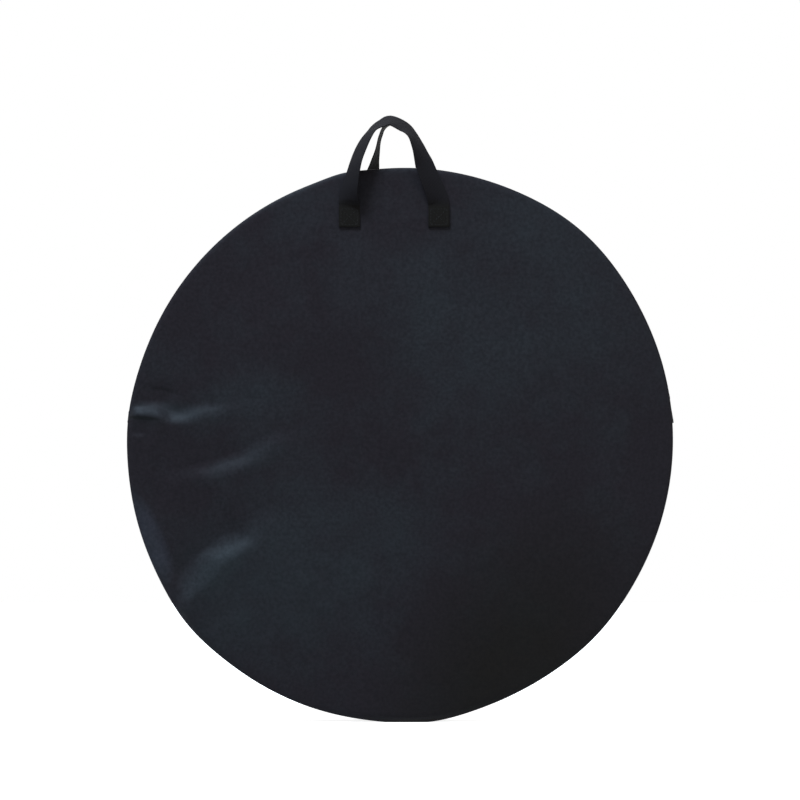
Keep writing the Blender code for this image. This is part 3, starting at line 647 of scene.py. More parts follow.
def patches_of(material, size, seed=0.0, detail=3.0, rough=0.5):
    """Soft patches this many metres across, from 0 to 1, fixed to the piece."""
    where = add_node(material, "TexCoord", output="Object")
    moved = add_node(material, "Mapping", {"Vector": where, "Location": (seed, seed, seed)})
    noisy = {"Vector": moved, "Scale": 1 / size, "Detail": detail, "Roughness": rough}
    return add_node(material, "TexNoise", noisy, "Fac")


def placed_patch(material, middle, half_sizes, lean, soft):
    """A soft-edged oval on the front at (x, z), as long and wide as its half sizes, from 0 to 1."""
    where = add_node(material, "TexCoord", output="Object")
    inside = add_node(material, "Mapping", {
        "Vector": where, "Location": (middle[0], 0.0, middle[1]), "Rotation": (0.0, -math.radians(lean), 0.0),
        "Scale": (half_sizes[0], 10.0, half_sizes[1])}, vector_type="TEXTURE")
    oval = add_node(material, "TexGradient", {"Vector": inside}, "Fac", gradient_type="SPHERICAL")
    oval = add_node(material, "MapRange", (oval, 0.0, soft))
    in_front = add_node(material, "MapRange", (add_node(material, "SeparateXYZ", (where,), "Y"), 0.0, -0.01))
    return add_node(material, "Math", (oval, in_front), operation="MULTIPLY")


def coated_oxford(name, colours, sizes):
    """Polyester oxford with a polyurethane coat behind it: matt black yarn, a weave that breaks up the light, and
    wide faint lighter, bluish patches. Some of these patches are painted highlights along the lit bands of the pleats
    and a painted sheen along the lower left edge, and marks add a painted shade low on the right and a painted shadow
    under the sharpest crease. Real thread spacing is 0.5 mm, which no render shows, so the threads are drawn wider."""
    made = new_material(name)
    weave = weave_of(made, sizes.cloth_thread)
    cool_and_highlight_share = add_node(made, "MapRange", (patches_of(made, 0.12, 3.1, 6.0, 0.7), 0.3, 0.7, -0.36, 0.38))
    # Lighter, bluish patches: two broad ones, then painted highlights along the pleats and a painted sheen along the
    # lower left edge
    for middle, half_sizes, lean, strength in COOL_AND_HIGHLIGHT_PATCHES:
        oval = placed_patch(made, middle, half_sizes, lean, COOL_EDGE)
        cool_and_highlight_share = add_node(made, "Math", (oval, strength, cool_and_highlight_share), operation="MULTIPLY_ADD")
    body = add_node(made, "Mix", {FACTOR: add_node(made, "MapRange", (cool_and_highlight_share,)), COLOUR_A: rgba(colours.cloth),
                                  COLOUR_B: rgba(colours.cloth_cool_and_highlight)}, **COLOURS)
    # Painted shade low on the right, a painted shadow under the sharpest crease and a painted sheen along the lower
    # left edge
    for key, middle, half_sizes, lean, soft, strength in MARKS:
        oval = placed_patch(made, middle, half_sizes, lean, soft)
        share = add_node(made, "MapRange", (oval, 0.0, 1.0, 0.0, strength))
        body = add_node(made, "Mix", {FACTOR: share, COLOUR_A: body, COLOUR_B: rgba(getattr(colours, key))},
                        **COLOURS)
    slub = add_node(made, "MapRange", (patches_of(made, 0.0045, 0.7, 2.0), 0.3, 0.7, 0.80, 1.20))
    thread = add_node(made, "MapRange", (weave, 0.0, 1.0, 0.80, 1.14))
    shade = add_node(made, "Math", (thread, slub), operation="MULTIPLY")
    tone = add_node(made, "CombineColor", (shade,) * 3)
    crease = add_node(made, "Bump", {"Height": patches_of(made, 0.010, 5.0, 3.0), "Distance": 0.25 * MM,
                                     "Strength": 0.6})
    return set_surface(made, {
        "Base Color": add_node(made, "Mix", {FACTOR: 1.0, COLOUR_A: body, COLOUR_B: tone}, blend_type="MULTIPLY",
                               **COLOURS),
        "Roughness": add_node(made, "MapRange", (weave, 0.0, 1.0, 0.52, 0.42)),
        "Specular IOR Level": 0.06,
        "Specular Tint": (0.74, 0.88, 1.0, 1.0),
        "Normal": add_node(made, "Bump", {"Height": weave, "Distance": 0.12 * MM, "Strength": 0.7,
                                          "Normal": crease}),
    })


def ribbed_webbing(name, colour, rib, front_loop_lighter=None, rear_loop_painted_shade=None):
    """Polypropylene webbing: thick ribs along it, crossed by fine picks, a little shinier than the cloth. The front
    loop is a shade lighter and bluer above its sewn ends, and the rear loop's webbing is coloured darker as painted
    shade."""
    made = new_material(name)
    where = add_node(made, "UVMap", uv_map="cloth")
    threads = add_node(made, "Mapping", {"Vector": where, "Scale": (1 / rib,) * 3})
    ribs = add_node(made, "TexWave", {"Vector": threads, "Scale": BANDS_APART}, "Fac", bands_direction="X")
    picks = add_node(made, "TexWave", {"Vector": threads, "Scale": 0.55, "Distortion": 1.2, "Detail Scale": 0.6},
                     "Fac", bands_direction="DIAGONAL")
    sunk = add_node(made, "MapRange", (picks, 0.0, 1.0, 0.65, 1.0))
    height = add_node(made, "Math", (ribs, sunk), operation="MULTIPLY")
    tone = add_node(made, "MapRange", (height, 0.0, 1.0, 0.72, 1.16))
    grey = add_node(made, "CombineColor", (tone,) * 3)
    body = rgba(colour)
    if front_loop_lighter:
        place = add_node(made, "TexCoord", output="Object")
        up, depth = (add_node(made, "SeparateXYZ", (place,), way) for way in "ZY")
        # Painted shade: the rear loop, behind the middle plane, takes the darker colour
        behind = add_node(made, "MapRange", (depth, 0.0, 0.005))
        in_front = add_node(made, "MapRange", (depth, 0.0, -0.005))
        # The front loop above its sewn ends is a shade lighter and bluer
        loose = add_node(made, "MapRange", (up, SEWN_TOP, SEWN_TOP + 12 * MM))
        lightened = add_node(made, "Math", (loose, in_front), operation="MULTIPLY")
        body = add_node(made, "Mix", {FACTOR: behind, COLOUR_A: rgba(colour), COLOUR_B: rgba(rear_loop_painted_shade)}, **COLOURS)
        body = add_node(made, "Mix", {FACTOR: lightened, COLOUR_A: body, COLOUR_B: rgba(front_loop_lighter)}, **COLOURS)
    return set_surface(made, {
        "Base Color": add_node(made, "Mix", {FACTOR: 1.0, COLOUR_A: body, COLOUR_B: grey}, blend_type="MULTIPLY",
                               **COLOURS),
        "Roughness": add_node(made, "MapRange", (height, 0.0, 1.0, 0.7, 0.5)),
        "Specular IOR Level": 0.04,
        "Normal": add_node(made, "Bump", {"Height": height, "Distance": 0.25 * MM, "Strength": 0.8}),
    })


def nylon_lining(name, colour, spacing):
    """Thin nylon taffeta: a fine weave with a soft shine, and small creases between its sewn edges."""
    made = new_material(name)
    weave = weave_of(made, spacing)
    patches = add_node(made, "MapRange", (patches_of(made, 0.05, 1.3, 4.0), 0.3, 0.7))
    creases = add_node(made, "Bump", {"Height": patches_of(made, 0.03, 2.0, 4.0), "Distance": 0.8 * MM,
                                      "Strength": 1.0})
    return set_surface(made, {
        "Base Color": add_node(made, "Mix", {FACTOR: patches, COLOUR_A: rgba(colour, 0.88),
                                             COLOUR_B: rgba(colour, 1.12)}, **COLOURS),
        "Roughness": add_node(made, "MapRange", (weave, 0.0, 1.0, 0.55, 0.42)),
        "Specular IOR Level": 0.35,
        "Sheen Weight": 0.1,
        "Normal": add_node(made, "Bump", {"Height": weave, "Distance": 0.06 * MM, "Strength": 0.6,
                                          "Normal": creases}),
    })


def between_shades(made, share, dark, light, roughness, shine, height, depth, more=()):
    """A material whose colour goes from one shade to another, with a relief this deep in m from a height."""
    return set_surface(made, {
        "Base Color": add_node(made, "Mix", {FACTOR: share, COLOUR_A: dark, COLOUR_B: light}, **COLOURS),
        "Roughness": roughness,
        "Specular IOR Level": shine,
        "Normal": add_node(made, "Bump", {"Height": height, "Distance": depth, "Strength": 1.0}),
        **dict(more),
    })


def open_cell_foam(name, colour):
    """Polyurethane foam: pale open cells about 1 mm across, which sink in at their middles."""
    made = new_material(name)
    where = add_node(made, "TexCoord", output="Object")
    cells = add_node(made, "TexVoronoi", {"Vector": where, "Scale": 1 / (1.1 * MM)}, "Distance")
    depth = add_node(made, "MapRange", (cells, 0.0, 0.8))
    return between_shades(made, depth, rgba(colour), rgba(colour, 0.6), 0.95, 0.1, depth, -0.3 * MM)


def ballistic_patch(name, colour):
    """Coated ballistic nylon: coarse basket weave under a rubbery coat, worn a little shiny in the middle."""
    made = new_material(name)
    weave = weave_of(made, 2.6 * MM)
    worn = add_node(made, "MapRange", (patches_of(made, 0.02, 8.0, 3.0), 0.35, 0.7))
    roughness = add_node(made, "MapRange", (worn, 0.0, 1.0, 0.55, 0.36))
    return between_shades(made, worn, rgba(colour, 0.85), rgba(colour, 1.25), roughness, 0.4, weave, 0.25 * MM)


def herringbone_tape(name, colour):
    """Woven polyester zip tape: short slanted floats, in stripes that lean one way and then the other."""
    made = new_material(name)
    where = add_node(made, "UVMap", uv_map="cloth")
    slanted = add_node(made, "Mapping", {"Vector": where, "Scale": (1 / (1.1 * MM),) * 3})
    leaning = add_node(made, "Mapping", {"Vector": slanted, "Scale": (1, -1, 1)})
    one, two = (add_node(made, "TexWave", {"Vector": way, "Scale": 0.45, "Distortion": 0.4}, "Fac",
                         bands_direction="DIAGONAL") for way in (slanted, leaning))
    stripes = add_node(made, "Mapping", {"Vector": where, "Scale": (0, 1 / (2.2 * MM), 0)})
    which = add_node(made, "TexChecker", {"Vector": stripes, "Scale": 1.0}, "Fac")
    height = add_node(made, "Mix", {"Factor": which, "A": one, "B": two})
    return between_shades(made, height, rgba(colour, 0.75), rgba(colour, 1.3), 0.78, 0.2, height, 0.12 * MM)


def nylon_monofilament(name, colour):
    """Drawn nylon wire of a coil zip: smooth, with a soft bright line along each turn."""
    made = new_material(name)
    drawn = patches_of(made, 0.0015, 4.0, 2.0)
    roughness = add_node(made, "MapRange", (drawn, 0.3, 0.7, 0.30, 0.42))
    return between_shades(made, drawn, rgba(colour, 0.8), rgba(colour, 1.3), roughness, 0.45, drawn, 0.03 * MM)


def twisted_thread(name, colour):
    """Bonded polyester thread: two plies twisted together, with a faint gloss from the bonding."""
    made = new_material(name)
    where = add_node(made, "TexCoord", output="Object")
    plies = add_node(made, "TexWave", {"Vector": where, "Scale": BANDS_APART / (0.9 * MM)}, "Fac",
                     bands_direction="DIAGONAL")
    return between_shades(made, plies, rgba(colour, 0.8), rgba(colour, 1.3), 0.5, 0.1, plies, 0.08 * MM)


def painted_zinc(name, colour, rubbed_colour):
    """Die-cast zinc under baked black paint: an even gloss with a slight orange peel, rubbed in places."""
    made = new_material(name)
    peel = patches_of(made, 0.0012, 2.0, 2.0)
    lightened = add_node(made, "MapRange", (patches_of(made, 0.006, 6.0, 6.0), 0.58, 0.72))
    roughness = add_node(made, "MapRange", (lightened, 0.0, 1.0, 0.33, 0.48))
    return between_shades(made, lightened, rgba(colour), rgba(rubbed_colour), roughness, 0.5, peel, 0.03 * MM,
                          {"Coat Weight": 0.2, "Coat Roughness": 0.2})


def make_materials(colours, sizes):
    """One material for each finish on the bag."""
    return {
        "cloth": coated_oxford("coated polyester oxford", colours, sizes),
        "webbing": ribbed_webbing("ribbed polypropylene webbing", colours.webbing, sizes.webbing_rib,
                                  colours.front_loop_lighter, colours.rear_loop_painted_shade),
        "binding": ribbed_webbing("grosgrain binding tape", colours.binding, 1.2 * MM),
        "lining": nylon_lining("nylon taffeta lining", colours.lining, sizes.lining_thread),
        "foam": open_cell_foam("open-cell polyurethane foam", colours.foam),
        "patch": ballistic_patch("coated ballistic nylon", colours.patch),
        "tape": herringbone_tape("herringbone polyester tape", colours.tape),
        "coil": nylon_monofilament("drawn nylon wire", colours.coil),
        "thread": twisted_thread("bonded polyester thread", colours.thread),
        "metal": painted_zinc("black painted zinc", colours.metal, colours.metal_rubbed),
    }


made_materials = {}


def material_for(key):
    """The finish by its short name, made on first use."""
    if not made_materials:
        scene = bpy.context.scene
        made_materials.update(make_materials(scene.wheelbag_colours, scene.wheelbag_sizes))
    return made_materials[key]


# Thread


def stitch_row(name, places, rides):
    """Stitches laid in rows: each place is a middle, the way along and the way out of the cloth."""
    sizes = bpy.context.scene.wheelbag_sizes
    stitch = bmesh.new()
    shape = Matrix.Diagonal((sizes.stitch, sizes.thread, sizes.thread * 0.8, 1.0)) @ Matrix.Rotation(TOP, 4, "Y")
    bmesh.ops.create_uvsphere(stitch, u_segments=6, v_segments=5, radius=0.5, matrix=shape)
    turns = []
    for middle, along, out in places:
        along = along.normalized()
        out = (out - along * out.dot(along)).normalized()
        turns.append(Matrix.Translation(middle) @ Matrix((along, out.cross(along), out)).transposed().to_4x4())
    bm = bmesh.new()
    join(bm, stitch, turns)
    return piece(name, bm, material_for("thread"), rides)


def wall_stitches(depth, lift, start, end, spacing):
    """Places for a row of stitches that runs round the side wall."""
    count = max(int((end - start) * ZIP_RADIUS / spacing), 1)
    step = (end - start) / count
    places = []
    for i in range(count):
        angle = start + (i + 0.5) * step
        here, ahead = wall_place(angle, depth, lift), wall_place(angle + 0.2 * step, depth, lift)
        side = wall_place(angle, depth + math.copysign(0.4 * MM, -depth), lift)
        out = (ahead - here).cross(side - here)
        if out.dot(from_middle(here)) < 0:
            out.negate()
        places.append((here, ahead - here, out))
    return places


def ring_stitches(radius, depth, side, count, first, settle):
    """Places for a ring of stitches on the inner face of the front or back."""
    places = []
    for i in range(count):
        angle = FULL_TURN * (i + first) / count
        at = settle(Vector((radius * math.cos(angle), side * depth, radius * math.sin(angle))))
        places.append((at, Vector((-math.sin(angle), 0, math.cos(angle))), Vector((0, -side, 0))))
    return places


# Operators: one for each piece or group of like pieces


class WHEELBAG_OT_panels(bpy.types.Operator):
    """Make the outer cloth of the round front and back"""

    bl_idname = "wheelbag.panels"
    bl_label = "Panels"

    def execute(self, context):
        pleated, flat_edge = 0.38 * RIM_RADIUS, RIM_RADIUS - ROLL_LENGTH
        radii = rows_between(0.0, pleated, 14)[:-1] + rows_between(pleated, flat_edge, 66)
        radii += [RIM_RADIUS - lip * MM for lip in (6.4, 5.0, 3.8, 2.7, 1.8, 1.0, 0.4, 0.0)]
        for name, side, nodes in (
            ("front_cloth", -1, ("front_panel", "flap_panel")),
            ("back_cloth", 1, ("back_panel",)),
        ):
            places = [(radius, panel_depth(radius)) for radius in radii]
            places += [(RIM_RADIUS - 0.7 * MM, SEAM_HALF + 0.7 * MM), (RIM_RADIUS - 3.0 * MM, SEAM_HALF + 0.4 * MM)]
            bm = disc(places, side, 480, crowd=crowd_pleats, rows=fold_rows(side))
            made = thicken(piece(name, bm, material_for("cloth"), instead_of=nodes), SHELL)
            if side < 0:
                bend_at_fold(made)
            else:
                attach(made, "bag")
            across, up = 2 * RIM_RADIUS, 2 * rim_reach(TOP)
        return {"FINISHED"}


class WHEELBAG_OT_inside(bpy.types.Operator):
    """Make the padding, lining, hub patches and seam bindings inside the bag"""

    bl_idname = "wheelbag.inside"
    bl_label = "Inside"

    def execute(self, context):
        edge = RIM_RADIUS - EDGE_INSET
        radii = rows_between(0.0, edge, 44)[:-1] + [edge - 3 * MM, edge]
        padding_sink = CLOTH + 3 * LAYER_GAP
        lining_sink = padding_sink + PADDING + LAYER_GAP
        below, above = FOLD_Z - ROLL_BELOW, FOLD_Z + ROLL_ABOVE
        foam, lining = (padding_sink, PADDING, "foam"), (lining_sink, LINING, "lining")
        for name, side, (sink, thickness, key), nodes, keep, cut, rides in (
            ("front_padding_sheet", -1, foam, ("front_padding",), "below", below, "bag"),
            ("flap_padding_sheet", -1, foam, ("flap_padding",), "above", above, "flap"),
            ("back_padding_sheet", 1, foam, ("back_padding",), None, None, "bag"),
            ("front_lining_sheet", -1, lining, ("front_lining", "flap_lining"), None, None, None),
            ("back_lining_sheet", 1, lining, ("back_lining",), None, None, "bag"),
        ):
            places = [(radius, panel_depth(radius) - sink) for radius in radii]
            bm = disc(places, side, 220, keep=keep, cut=cut, crowd=crowd_pleats,
                      rows=() if keep else fold_rows(side))
            made = thicken(piece(name, bm, material_for(key), rides, nodes), thickness)
            if rides is None:
                bend_at_fold(made)
        self.hub_patches(lining_sink + LINING + LAYER_GAP)
        self.bindings()
        return {"FINISHED"}

    def hub_patches(self, sink):
        """Round patches on the lining, with a ring of stitches near their edges."""
        radii = rows_between(0.0, HUB_PATCH_RADIUS, 10)[:-1] + [HUB_PATCH_RADIUS - 0.6 * MM, HUB_PATCH_RADIUS]
        ring = HUB_PATCH_RADIUS - 4 * MM
        face, count = panel_depth(ring) - sink - HUB_PATCH, int(FULL_TURN * ring / PATCH_STEP)
        for end, side in (("front", -1), ("back", 1)):
            bm = disc([(radius, panel_depth(radius) - sink) for radius in radii], side, 96)
            made = piece(f"{end}_hub_patch", bm, material_for("patch"), "bag", (f"hub_patch_{end}",))
            thicken(made, HUB_PATCH)
            places = ring_stitches(ring, face, side, count, 0, settle_slack_panel)
            stitch_row(f"{end}_hub_patch_stitching", places, "bag")

    def bindings(self):
        """Tape folded over the seam's raw edges, sewn along near its fold. Its two sides face opposite ways, so
        it is the fold that says which way its thickness goes."""
        outer = RIM_RADIUS - CLOTH - 1.2 * MM
        inner = outer - BINDING_WIDTH
        middle = SEAM_HALF - 1.5 * MM
        half = BINDING / 2
        section = [(outer, middle + half), (inner + 1.2 * MM, middle + half), (inner + 0.3 * MM, middle + 0.6 * half),
                   (inner, middle), (inner + 0.3 * MM, middle - 0.6 * half), (inner + 1.2 * MM, middle - half),
                   (outer, middle - half)]
        for name, side, nodes in (
            ("front_seam_binding", -1, ("front_binding", "flap_binding")),
            ("back_seam_binding", 1, ("back_binding",)),
        ):
            profile = [(radius, side * depth) for radius, depth in section]
            bm = turned(profile, 0.0, FULL_TURN, 180, settle_panel, from_middle, by_angle=False)
            made = thicken(piece(name, bm, material_for("binding"), instead_of=nodes), 0.4 * MM)
            count = int(FULL_TURN * inner / BINDING_STEP)
            places = ring_stitches(inner + 2.2 * MM, middle - half - 0.1 * MM, side, count, 0.5, settle_panel)
            if side < 0:
                bend_at_fold(made)
                made = stitch_row(f"{name}_stitching", places, None)
                bend_at_fold(made)
            else:
                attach(made, "bag")
                stitch_row(f"{name}_stitching", places, "bag")


def settle_slack_wall(point):
    """The side wall with small puckers across it, which die out at its seams and on the floor."""
    inset = RIM_RADIUS - math.hypot(point.x, point.z)
    angle = math.atan2(point.z, point.x)
    settled = settle_wall(point)
    across = smooth((SEAM_HALF - abs(point.y)) / WALL_FADE)
    wave = noise.noise(Vector((math.cos(angle) * 14, point.y * 60, math.sin(angle) * 14)))
    ripple = 0.5 * noise.noise(Vector((math.cos(angle) * 45, point.y * 30, math.sin(angle) * 45)))
    settled += Vector((math.cos(angle), 0, math.sin(angle))) * (WALL_PUCKER * across * (wave + ripple - 0.4))
    settled.z = max(settled.z, inset)
    return settled


def wall_band(places, start, end, steps, keep=None, settle=settle_slack_wall):
    """A band of the side wall through (across, inset) places, puckered unless it is said otherwise."""
    profile = [(RIM_RADIUS - inset, row) for row, inset in places]
    return turned(profile, start, end, steps, settle, from_middle, keep)


class WHEELBAG_OT_side_wall(bpy.types.Operator):
    """Make the side wall below the zip, its lining and the tabs over the zip's ends"""

    bl_idname = "wheelbag.side_wall"
    bl_label = "Side wall"

    def execute(self, context):
        start, end = HALF_TURN - ZIP_END, FULL_TURN + ZIP_END
        half = SEAM_HALF - 0.5 * MM
        rows = rows_between(-half + 0.8 * MM, half - 0.8 * MM, 20)
        tuck = [(-half, 3.0 * MM), (-half, 0.7 * MM), (-half + 0.3 * MM, 0.15 * MM)]
        places = tuck + [(row, 0.0) for row in rows] + [(-row, inset) for row, inset in reversed(tuck)]
        bm = wall_band(places, start, end, 190)
        wall = piece("wall_cloth", bm, material_for("cloth"), "bag", ("gusset",))
        thicken(wall, SHELL)
        places = [(row, CLOTH + 1.2 * MM) for row in rows_between(-WALL_SHOULDER, WALL_SHOULDER, 8)]
        bm = wall_band(places, start, end, round((end - start) / math.radians(3)), settle=settle_wall)
        made = thicken(piece("wall_lining", bm, material_for("lining"), "bag", ("gusset_lining",)), LINING)
        over, under = 5 * MM / RIM_RADIUS, 11 * MM / RIM_RADIUS
        for end, first, last in (
            ("right", ZIP_END - under, ZIP_END + over),
            ("left", HALF_TURN - (ZIP_END + over), HALF_TURN - (ZIP_END - under)),
        ):
            bm = wall_band([(row, -0.45 * MM) for row in rows_between(-half, half, 20)], first, last, 8)
            nodes = (f"zip_end_tab_{end}",)
            made = thicken(piece(f"{end}_end_tab", bm, material_for("webbing"), "bag", nodes), CLOTH)
            round_edges(made, 0.3 * MM)
            places = []
            for edge in (first + 2 * MM / RIM_RADIUS, last - 2 * MM / RIM_RADIUS):
                for i in range(8):
                    depth = -half + (i + 0.5) * half / 4
                    here, aside = wall_place(edge, depth, 0.5 * MM), wall_place(edge, depth + MM, 0.5 * MM)
                    places.append((here, aside - here, from_middle(here)))
            stitch_row(f"{end}_end_tab_stitching", places, "bag")
        return {"FINISHED"}


class WHEELBAG_OT_zip(bpy.types.Operator):
    """Make the zip: a cloth strip, a tape and a row of coil on each side, cut where the front folds"""

    bl_idname = "wheelbag.zip"
    bl_label = "Zip"

    def execute(self, context):
        past = FOLD_ANGLE + math.radians(6)
        start, end = ZIP_END + 0.4 * MM / ZIP_RADIUS, HALF_TURN - ZIP_END - 0.4 * MM / ZIP_RADIUS
        coil_start, coil_end = COIL_END, HALF_TURN - COIL_END
        for prefix, side, solids, first, last, coil_first, coil_last, keep, rides in (
            ("back", 1, "back_zip", start, end, coil_start, coil_end, None, "bag"),
            ("flap", -1, "front_zip", start, end, coil_start, coil_end, "above", "flap"),
            ("right_end", -1, "right_zip_end", start, past, coil_start, past, "below", "bag"),
            ("left_end", -1, "left_zip_end", HALF_TURN - past, end, HALF_TURN - past, coil_end, "below", "bag"),
        ):
            nodes = (f"{solids}_tape", f"{solids}_coil")
            self.half_zip(prefix, side, first, last, coil_first, coil_last, keep, rides, nodes)
        return {"FINISHED"}

    def half_zip(self, prefix, side, first, last, coil_first, coil_last, keep, rides, nodes):
        """A strip of the wall's cloth, the tape sewn to it, and the core and turns of its row of coil."""
        half = SEAM_HALF - 0.5 * MM
        strip = [(half, 3.0 * MM), (half, 0.7 * MM), (half - 0.3 * MM, 0.15 * MM)]
        strip += [(row, 0.0) for row in rows_between(half - 0.9 * MM, 9.6 * MM, 9)]
        strip += [(9.1 * MM, 0.2 * MM), (9.0 * MM, 0.6 * MM), (9.4 * MM, 0.9 * MM)]
        steps = max(round((last - first) / math.radians(1.6)), 3)
        bm = wall_band([(side * row, inset) for row, inset in strip], first, last, steps, keep)
        made = piece(f"{prefix}_wall_strip", bm, material_for("cloth"), rides, nodes[:1])
        thicken(made, 0.7 * MM)
        tape = [(12.0, 1.3), (10.0, 1.3), (8.8, 0.95), (7.8, 0.35), (6.5, 0.25), (5.0, 0.2), (3.5, 0.2), (1.3, 0.2)]
        bm = wall_band([(side * row * MM, inset * MM) for row, inset in tape], first, last, steps, keep)
        thicken(piece(f"{prefix}_woven_tape", bm, material_for("tape"), rides, ()), 0.5 * MM)
        core = [(side * row * MM, -1.5 * MM) for row in (3.7, 3.3, 2.0, 1.6)]
        coil_steps = max(round((coil_last - coil_first) / math.radians(2)), 2)
        bm = wall_band(core, coil_first, coil_last, coil_steps, keep, settle_wall)
        thicken(piece(f"{prefix}_coil_core", bm, material_for("thread"), rides, ()), 1.0 * MM)
        self.coil_turns(f"{prefix}_coil_turns", side, coil_first, coil_last, keep, rides, nodes[1])
        kept_side = 1 if keep == "above" else -1
        for row, (depth, lift) in enumerate(((10.6, 0.1), (5.6, -0.15))):
            places = [place for place in wall_stitches(side * depth * MM, lift * MM, first, last, ZIP_STEP)
                      if keep is None or (place[0].z - FOLD_Z) * kept_side > 2 * MM]
            stitch_row(f"{prefix}_wall_stitching_{row}", places, rides)

    def coil_turns(self, name, side, first, last, keep, rides, node):
        """Turns of coil that reach over the zip's middle, one side's between the other's."""
        pitch = bpy.context.scene.wheelbag_sizes.tooth_pitch / ZIP_RADIUS
        loop = bmesh.new()
        shape = Matrix.Diagonal((0.98 * MM, COIL_OUTER - COIL_HEAD, 1.75 * MM, 1.0)) @ Matrix.Rotation(TOP, 4, "X")
        bmesh.ops.create_uvsphere(loop, u_segments=8, v_segments=6, radius=0.5, matrix=shape)
        lean = Matrix.Rotation(math.radians(7 * side), 4, "Z")
        turns = []
        count = int((HALF_TURN - 2 * COIL_END) / pitch)
        for i in range(count):
            angle = COIL_END + (i + (0.25 if side > 0 else 0.75)) * pitch
            above = wall_place(angle, 0.0, 0.0).z > FOLD_Z
            if not first <= angle <= last or keep == ("below" if above else "above"):
                continue
            middle = wall_place(angle, side * (COIL_OUTER + COIL_HEAD) / 2, 1.25 * MM)
            out = Vector((math.cos(angle), 0.0, math.sin(angle)))
            along = Vector((-math.sin(angle), 0.0, math.cos(angle)))
            turn = Matrix((along, Vector((0, 1, 0)), out)).transposed().to_4x4()
            turns.append(Matrix.Translation(middle) @ turn @ lean)
        bm = bmesh.new()
        join(bm, loop, turns)
        for vert in bm.verts:
            vert.co.y = side * max(side * vert.co.y, COIL_HEAD)
        piece(name, bm, material_for("coil"), rides, (node,))


def slider_place(out, across, along):
    """A place beside the parked slider: out from the zip's arc, across it and along it."""
    reach = ZIP_RADIUS + out
    x = ZIP_SHIFT_X + reach * math.cos(PARK_ANGLE) - along * math.sin(PARK_ANGLE)
    z = ZIP_Z + reach * math.sin(PARK_ANGLE) + along * math.cos(PARK_ANGLE)
    return Vector((x, across, z))


